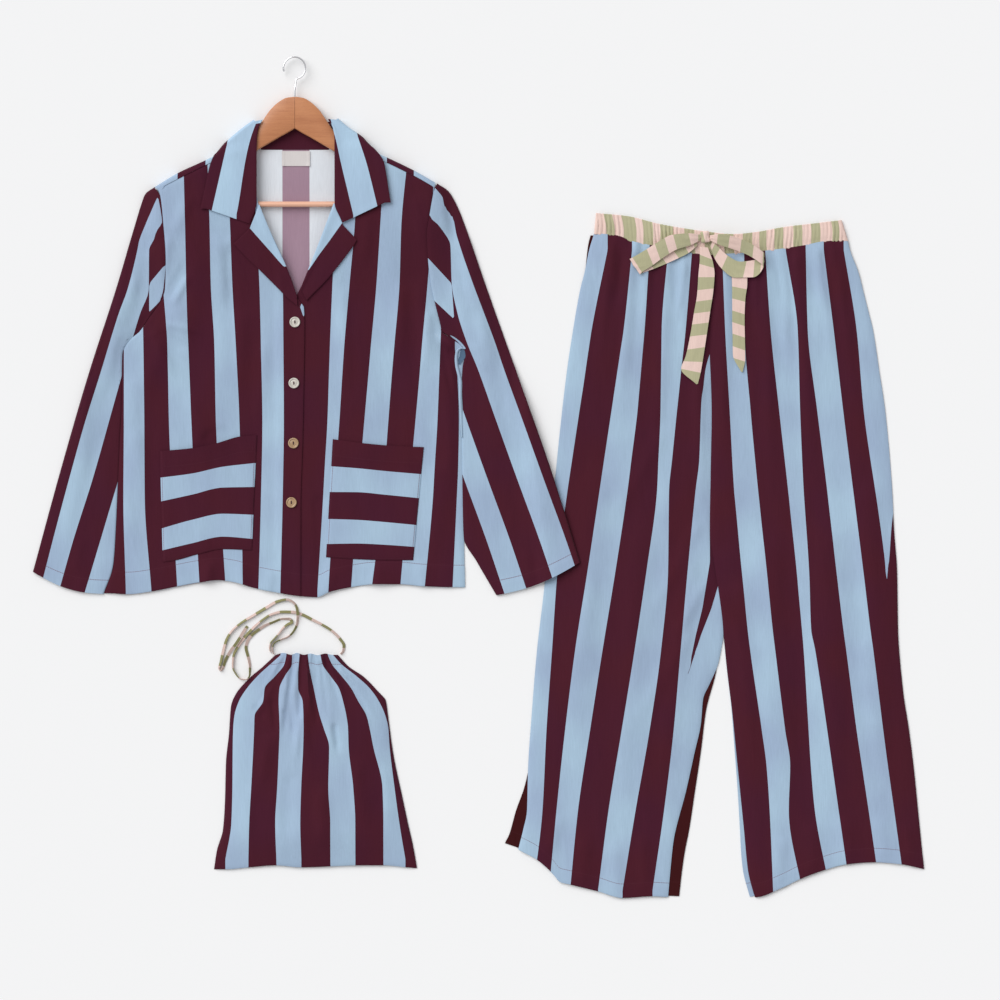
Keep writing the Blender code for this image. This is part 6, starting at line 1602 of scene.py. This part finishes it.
def band_pleats(x, v, seed=41):
    """Uneven upright pleats: rounded tops with narrow valleys."""
    draw = np.random.default_rng(seed)
    shift = sum(draw.uniform(0.5, 1.3) * np.sin(x / draw.uniform(11, 38) + draw.uniform(0, 6.28)) for _ in range(5))
    phase = math.pi * (x + 0.9 * shift + 1.6 * np.sin(3 * v + x / 60)) / BAND_PLEAT
    uneven = 0.62 + 0.42 * np.sin(x / 13.7 + 1.3 * np.sin(x / 7.1) + v)
    fine = np.sin(x / 1.9 + 2.2 * np.sin(x / 5.3 + 2 * v) + shift)
    return (np.abs(np.sin(phase)) ** 0.7 - 0.62 + 0.16 * fine) * uneven


def waistband(name):
    """The band, all round: gathered in front, flat on the surface behind."""
    v = np.array([0, 0.03, 0.08, 0.15, 0.24, 0.34, 0.45, 0.56, 0.67, 0.77, 0.86, 0.93, 0.975, 1])[:, None]
    u = np.concatenate([[0.0, 0.003, 0.008], np.linspace(0.014, 0.986, 460), [0.992, 0.997, 1.0]])[None, :]

    def plan(u):
        low_x, top_x = between(*BAND_LOW_X, u), between(*BAND_TOP_X, u)
        return between(low_x, top_x, v), between(waist_lower(low_x), waist_upper(top_x), v)

    x, y = plan(u)
    belly = np.sin(math.pi * v) ** 0.5
    seam = -0.55 * (np.exp(-((v - 0.13) / 0.05) ** 2) + np.exp(-((v - 0.88) / 0.05) ** 2))
    pleats = band_pleats(x, v) * (0.9 + 1.1 * belly)
    from_end = np.minimum(u, 1 - u) * BAND_WIDTH
    round_over = np.sqrt(1 - to_edge(from_end, 3.5))
    z = BAND_HEIGHT / 2 + (BAND_HEIGHT / 2 + pleats + seam - 1.5 * (1 - belly)) * round_over
    y = y + 0.5 * band_pleats(x + 2, 0 * v, 43) * (v - 0.5) * 2
    bx, by = plan(np.linspace(1, 0, 60)[None, 1:-1])
    points = np.concatenate([grid(x, y, z), grid(bx, by, 0.15 + 0 * bx)], axis=1)
    out = facing(points, ring=True)
    if out[6, 100, 2] < 0:
        out = -out
    px, py = points[:, :, 0], points[:, :, 1]
    slant = px + 1.2 * np.sin(py / 9) + 0.10 * (py - 1000)
    marks = marked(stripe_side(slant, py, WAIST_STRIPES, BLUE_FIRST))
    faces_of = points, points - out * CLOTH_WALL
    piece = cloth(name + "_gathers", faces_of, TROUSERS_PLACE, marks, (ribboned,), ring=True)
    return covers(piece, "tie_cotton", name)


trousers_waistband = waistband("trousers_waistband")
print("band", round(cloth_area(trousers_waistband), 4), "m2")

# %% [markdown]
# ## The tie and its bow
#
# The tie is a flat tube of the same cloth, pressed to a ribbon and tied in a bow. A ribbon is
# given by its two edges, station by station, so it can widen, twist and fold back on itself: each
# loop goes out, turns over at its end and comes back underneath. Its stripes run across, so the
# stripe number follows the ribbon's length.

# %% Ribbon tables
Ribbon = namedtuple("Ribbon", "ax ay az bx by bz")  # the two edges of a ribbon
KNOT = Point(-9, 990, 11.0)
TIE_LOOP_LEFT = table(Ribbon,
    (-16, 993, 11.5, -17, 985, 10.5), (-34, 995, 16, -30, 978, 13), (-58, 993, 17, -52, 971, 14),
    (-80, 982, 16, -72, 959, 13.5), (-100, 969.5, 14, -90, 946, 12.4), (-118, 959, 11.8, -104, 937, 11.4),
    (-122, 957, 10.4, -106.5, 934, 10.2), (-118, 957, 9.0, -103, 936, 9.0), (-98, 965, 8.9, -84, 943, 8.9),
    (-72, 976, 8.9, -56, 955, 8.9), (-44, 986, 8.9, -34, 966, 8.9), (-22, 990, 9.2, -21, 977, 9.0))
TIE_LOOP_RIGHT = table(Ribbon,
    (-2, 992, 12, -2, 985, 10.5), (14, 994, 20, 12, 978, 14), (36, 989, 22.5, 34, 971, 15),
    (58, 980, 21.5, 56, 962, 15.5), (72.5, 970.5, 20, 71.5, 952, 16.6), (78.5, 965.5, 17.2, 77.8, 946, 14.4),
    (77, 960, 13.8, 75.5, 939.5, 12), (65, 955.5, 11.3, 63, 929.5, 11), (44, 953, 10.8, 36, 929, 10.6),
    (26, 961, 10.4, 17, 941, 10.2), (12, 974, 9.6, 4, 960, 9.4), (2, 984, 9.2, -1, 976, 9.0))
TIE_TAIL_LEFT = table(Ribbon,
    (-17, 975.5, 9.0, -5, 974, 9.0), (-17, 958, 8.9, 3, 950, 8.9), (-19, 935, 8.6, 5, 934, 8.6),
    (-21, 905, 8.0, 3, 908, 8.0), (-26, 875, 7.6, -1.5, 878, 7.6), (-31, 845, 7.5, -6, 848, 7.4),
    (-38, 812, 7.3, -11, 815, 7.3), (-45, 792, 7.2, -16, 786, 7.2), (-22, 769.5, 7.1, -20, 770, 7.1))
TIE_TAIL_RIGHT = table(Ribbon,
    (30, 948, 8.7, 54, 936, 8.7), (31, 925, 8.4, 54, 920, 8.4), (31.5, 900, 8.0, 51, 895, 7.9),
    (31.5, 872, 7.5, 50, 866, 7.4), (32, 842, 7.2, 50.5, 836, 7.2), (32.5, 814, 7.0, 51, 808, 7.1),
    (45, 788, 6.9, 47, 787.5, 6.9))
TIE_WALL = 0.8
LOOP_LEFT_CHANGES = (0, 0.22, 1.02, 1.98, 2.54, 3.23, 3.82, 5.0, 6.3, 7.1, 7.9, 8.6, 9.3, 10, 10.7, 11.4)
LOOP_RIGHT_CHANGES = (0, 0.77, 1.63, 2.39, 3.3, 4.6, 5.5, 6.3, 7.0, 7.57, 9.1, 9.9, 10.6, 11.5)
TAIL_LEFT_CHANGES = (0, 0.72, 1.4, 2.2, 2.83, 3.4, 3.99, 4.55, 5.13, 5.69, 6.39, 6.97, 8.2)
TAIL_RIGHT_CHANGES = (0, 1.38, 2.08, 2.73, 3.32, 3.89, 4.55, 5.2, 6.4)


def ribbon(name, rows, changes, start, samples, seed, bulge=0.5, creases=0.8):
    """A soft ribbon through the two edges that its table gives."""
    t = np.linspace(0, len(rows) - 1, samples)
    ax, ay, az, bx, by, bz = through(rows, t)
    s = np.array([0, 0.03, 0.1, 0.22, 0.36, 0.5, 0.64, 0.78, 0.9, 0.97, 1])[None, :]
    points = grid(between(ax, bx, s), between(ay, by, s), between(az, bz, s))
    out = facing(points)
    uneven = creases * ripple(40 * s + 0 * t[:, None], 12 * t[:, None] + 0 * s, 15, 22, seed)
    pleat = bulge * np.sin(math.pi * s) ** 0.8 + uneven * np.sin(math.pi * s)
    points = points + out * np.sign(out[samples // 4, 5, 2]) * pleat[:, :, None]
    number = start + np.interp(t, changes, np.arange(len(changes)))[:, None] + 0 * s
    marks = marked(np.sin(math.pi * number))
    piece = cloth(name + "_ribbon", two_faces(points, TIE_WALL, square=True), TROUSERS_PLACE, marks, (ribboned,))
    return covers(piece, "tie_cotton", name)


ties = [ribbon("trousers_tie_loop_left", TIE_LOOP_LEFT, LOOP_LEFT_CHANGES, 11, 150, 51),
        ribbon("trousers_tie_loop_right", TIE_LOOP_RIGHT, LOOP_RIGHT_CHANGES, 10, 160, 52),
        ribbon("trousers_tie_tail_left", TIE_TAIL_LEFT, TAIL_LEFT_CHANGES, 10, 130, 53, 0.3, 0.6),
        ribbon("trousers_tie_tail_right", TIE_TAIL_RIGHT, TAIL_RIGHT_CHANGES, 10, 110, 54, 0.3, 0.6)]
print("ties", [round(cloth_area(p), 5) for p in ties], "m2")

# %% The knot
def knot(name):
    """The knot: one turn of the ribbon drawn tight over the others."""
    s, a = np.meshgrid(np.linspace(-1, 1, 26), np.linspace(0, 2 * math.pi, 40, endpoint=False), indexing="ij")
    squeeze = 1 - 0.30 * np.cos(math.pi * s) * 0.5
    radius_x, radius_z = 6.4 * squeeze * (1 - 0.35 * s ** 8), 4.0 * (1 - 0.55 * s ** 6)
    fold = 0.35 * np.sin(5 * a + 2.4 * s) + 0.25 * np.sin(9 * a - 1.5 * s)
    x = KNOT.x + (radius_x + fold) * np.cos(a) - 1.2 * s
    z = KNOT.z + (radius_z + 0.5 * fold) * np.sin(a)
    y = KNOT.y + 8.4 * s + 0.8 * np.cos(a)
    points = grid(x, y, z)
    out = facing(points, ring=True)
    middle = points.mean(axis=1, keepdims=True)
    if float((out * (points - middle)).sum()) < 0:
        out = -out
    marks = marked(stripe_side(x + 0.25 * (y - KNOT.y), y, stripe_rows((0, KNOT.x - 2.0)), BURGUNDY_FIRST))
    piece = cloth(name + "_turn", (points, points - out * TIE_WALL), TROUSERS_PLACE, marks, (ribboned,), ring=True)
    return covers(piece, "tie_cotton", name)


trousers_knot = knot("trousers_tie_knot")
print("knot", round(cloth_area(trousers_knot), 5), "m2")

# %% [markdown]
# ## The bag
#
# The bag is two panels sewn round three sides, drawn together at the top by the tapes in their
# channel. The pull spreads the cloth from the channel like a fan: sharp pleats at the top that
# soften and widen on the way down, over a body that is a little filled out.

# %% Bag tables
BAG_LEFT = table(At,
    (-2, -153), (27, -148.5), (58, -139.5), (102, -136.5), (159, -135), (202, -130.5), (243, -127.5), (260, -121),
    (284, -101), (302, -80), (322, -58.5))
BAG_RIGHT = table(At,
    (0, 151.5), (34, 145.5), (67, 138), (102, 130.5), (174, 115.5), (229, 108), (252, 104.5), (263, 95),
    (288, 70.5), (302, 49.5), (321, 32))
BAG_HEM = table(Over,
    (-153, -1.5), (-136, -1.5), (-100, 1.5), (-60, 4.5), (-22, 1.5), (24, 3), (61, 4.5), (102, 4.5), (135, 1.5),
    (152, 0))
BAG_TOP = table(Over,
    (-60, 320), (-49, 323), (-37, 320), (-29, 323), (-18, 320), (-8, 322), (2, 319.5), (14, 322), (24, 320),
    (34, 320))
BAG_PUFF = 9.0
BAG_FOLDS = table(Fold,
    (-50, 322, -96, 210, 6, 2.6), (-38, 322, -62, 170, 7, 3.0), (-26, 322, -40, 220, 5, 2.4),
    (-16, 322, -16, 150, 7, 3.0), (-5, 322, 2, 210, 5, 2.4), (6, 322, 26, 160, 7, 3.0), (17, 322, 48, 220, 5, 2.4),
    (27, 322, 86, 200, 6, 2.6))
BAG_STRIPES = stripe_rows(
    (320, -52.6, -44.1, -35.4, -24.4, -11.9, 6.9, 17.9, 25.8),
    (306, -68.3, -47.3, -36, -25.6, -10.3, 10.1, 24.2, 38.3),
    (288.7, -87.1, -60.7, -46.3, -26.6, -7.2, 21.7, 38.3, 60.2),
    (270, -103.4, -76.7, -54.5, -26.6, -3.1, 34.8, 53, 80.6),
    (251, -115.3, -78.9, -55.7, -19.7, 0.7, 40.8, 63.3, 94.1),
    (229, -122.2, -91.8, -54.8, -18.4, 6, 45.8, 75.9, 104.1),
    (210.3, -124, -92.4, -54.2, -18.1, 12, 48.3, 80.6, 108.5),
    (182, -124.7, -93.6, -55.1, -18.8, 20.1, 49.2, 86.2, 110.5),
    (121.5, -125.2, -96.8, -57.8, -21.8, 18.8, 56.2, 99.8, 117.8),
    (67.5, -126.8, -99.8, -60.8, -23.2, 21.8, 59.2, 101.2, 125.2),
    (13.5, -135.8, -101.2, -59.2, -21.8, 21.8, 59.2, 101.2, 134.2))
BAG_CREASES = table(Fold,
    (-44, 318, -92, 236, 3.4, -1.8), (-31, 318, -50, 190, 4, -2.0), (-20, 318, -26, 200, 3.4, -2.2),
    (-4, 318, 2, 205, 3.0, -3.4), (-12, 300, -8, 222, 2.4, 1.6), (8, 306, 20, 214, 3.6, -2.0),
    (16, 318, 42, 228, 3.4, -2.0), (24, 312, 70, 232, 4, -2.4), (33, 300, 84, 254, 3.2, 1.6),
    (46, 286, 84, 226, 3.4, -2.4), (58, 272, 92, 222, 3, 1.2), (28, 216, 34, 172, 3.6, -1.8),
    (-92, 244, -78, 226, 3.2, -2.4), (-66, 252, -58, 196, 3.4, -1.6), (-40, 262, -32, 196, 3.6, -1.8),
    (-50, 236, -34, 222, 2.6, -1.4), (-24, 230, -30, 160, 5, 1.4), (-70, 200, -84, 120, 11, 1.6),
    (60, 160, 74, 60, 12, 1.6), (-100, 120, -110, 30, 11, 1.4), (10, 120, 12, 30, 13, 1.3),
    (-40, 140, -44, 40, 10, -1.2), (104, 150, 112, 60, 9, 1.3))
CHANNEL_DEPTH = 14.0
BAG_CREASE_DEPTH = 1.5 * CREASE_DEPTH
BAG_TROUGH, BAG_TROUGH_SHARE = 0.5, 0.42  # the deepest crease: at the edge, and more where the bag is full


def bag_top_face(x, y, left, right):
    """Upper face of the bag's front, a little filled out and gathered at the channel."""
    share = np.clip((x - left) / (right - left), 0, 1)
    crown = np.sin(math.pi * share) ** 0.7
    along = ease((y + 12) / 70) * (1 - 0.55 * ease((y - 180) / 130))
    flat = LAY + LAYER_WALL - 0.9 * (1 - ease(np.minimum(share, 1 - share) / 0.08))
    fine = BAG_CREASE_DEPTH * fold_height(x, y, BAG_CREASES)
    fine = fine + 1.3 * ease((y - 256) / 40) * ripple(x * 1.6, y, 13, 400, 61) + 0.4 * ripple(x, y, 30, 160, 62)
    fine = shallow(fine, BAG_TROUGH + BAG_TROUGH_SHARE * BAG_PUFF * along)
    return flat + (BAG_PUFF * along + fold_height(x, y, BAG_FOLDS) + fine) * crown


def bag_panel(name, front):
    """The front or the back of the bag."""
    left, right, hem, top = down(BAG_LEFT), down(BAG_RIGHT), across(BAG_HEM), across(BAG_TOP)
    if front:
        x, y = panel_grid(spread(84, 0.006), climb_shares(320, 20, 3.2, 2.6), left, right, hem, top)
        from_side = np.minimum(np.abs(x - left(y)), np.abs(x - right(y)))
        stitch = top(x) - y - CHANNEL_DEPTH
        z = bag_top_face(x, y, left(y), right(y)) - 1.4 * to_edge(from_side, 6)
        z -= 0.9 * to_edge(y - hem(x), 5)
        z += 0.5 * (1 - ease(stitch / 3)) - 0.6 * np.exp(-(stitch / 2.2) ** 2)
    else:
        x, y = panel_grid(spread(34, 0.01), climb_shares(320, 20, 6, 4), left, right, hem, top)
        z, stitch = 0.9 + 0.1 * ripple(x, y, 30, 120, 63), NO_STITCH
    marks = marked(stripe_side(x, y, BAG_STRIPES, BURGUNDY_FIRST), stitch=stitch, run=x)
    piece = cloth(name + "_panel", two_faces(grid(x, y, z)), BAG_PLACE, marks, (striped, striped_inside))
    return covers(piece, "striped_cotton", name)


bag_back, bag_front = bag_panel("bag_back", False), bag_panel("bag_front", True)
print("bag", round(cloth_area(bag_back), 4), round(cloth_area(bag_front), 4), "m2")

# %% [markdown]
# ## The cut of each piece
#
# A lying piece of cloth is a little smaller in plan than its cut, because it goes up and down over
# its folds. The cut sizes are those that a maker would mark: width by length, and the area where
# the cut isn't a rectangle.

Cut = namedtuple("Cut", "piece width length area held rests_on")
CUTS = table(Cut,
    (shirt_back, 0.56, 0.72, 0.325, "laid", ()),
    (shirt_front_left, 0.30, 0.69, 0.155, "laid", (shirt_back,)),
    (shirt_front_right, 0.29, 0.69, 0.152, "laid", (shirt_back,)),
    (shirt_sleeve_left, 0.25, 0.63, 0.092, "laid", ()),
    (shirt_sleeve_right, 0.30, 0.65, 0.126, "laid", ()),
    (shirt_collar, 0.48, 0.09, 0.040, "folded", (shirt_front_left, shirt_front_right)),
    (lapels[0], 0.08, 0.17, 0.0057, "folded", (shirt_front_left,)),
    (lapels[1], 0.08, 0.17, 0.0055, "folded", (shirt_front_right,)),
    (pockets[0], 0.142, 0.172, None, "laid", (shirt_front_left,)),
    (pockets[1], 0.134, 0.174, None, "laid", (shirt_front_right,)),
    (label, 0.042, 0.0225, None, "laid", (shirt_back,)),
    (backs[0], 0.26, 0.99, 0.232, "laid", ()),
    (backs[1], 0.275, 0.97, 0.248, "laid", ()),
    (legs[0], 0.26, 0.99, 0.233, "laid", (backs[0],)),
    (legs[1], 0.275, 0.97, 0.253, "laid", (backs[1],)),
    (trousers_waistband, 0.92, 0.036, None, "gathered", backs),
    (ties[0], 0.21, 0.026, None, "folded", (legs[0],)),
    (ties[1], 0.165, 0.025, None, "folded", (legs[1],)),
    (ties[2], 0.205, 0.025, None, "laid", (legs[0],)),
    (ties[3], 0.162, 0.02, None, "laid", (legs[1],)),
    (trousers_knot, 0.026, 0.024, None, "folded", (trousers_waistband,)),
    (bag_back, 0.29, 0.322, 0.076, "laid", ()),
    (bag_front, 0.29, 0.322, 0.080, "gathered", (bag_back,)))
for cut in CUTS:
    area = cut.area or cut.width * cut.length
    print(f"{cut.piece.name:32s} lies on {cloth_area(cut.piece):.4f} m2, cut {area:.4f} m2")

# %% [markdown]
# ## Finish
#

# %% Finish
import json
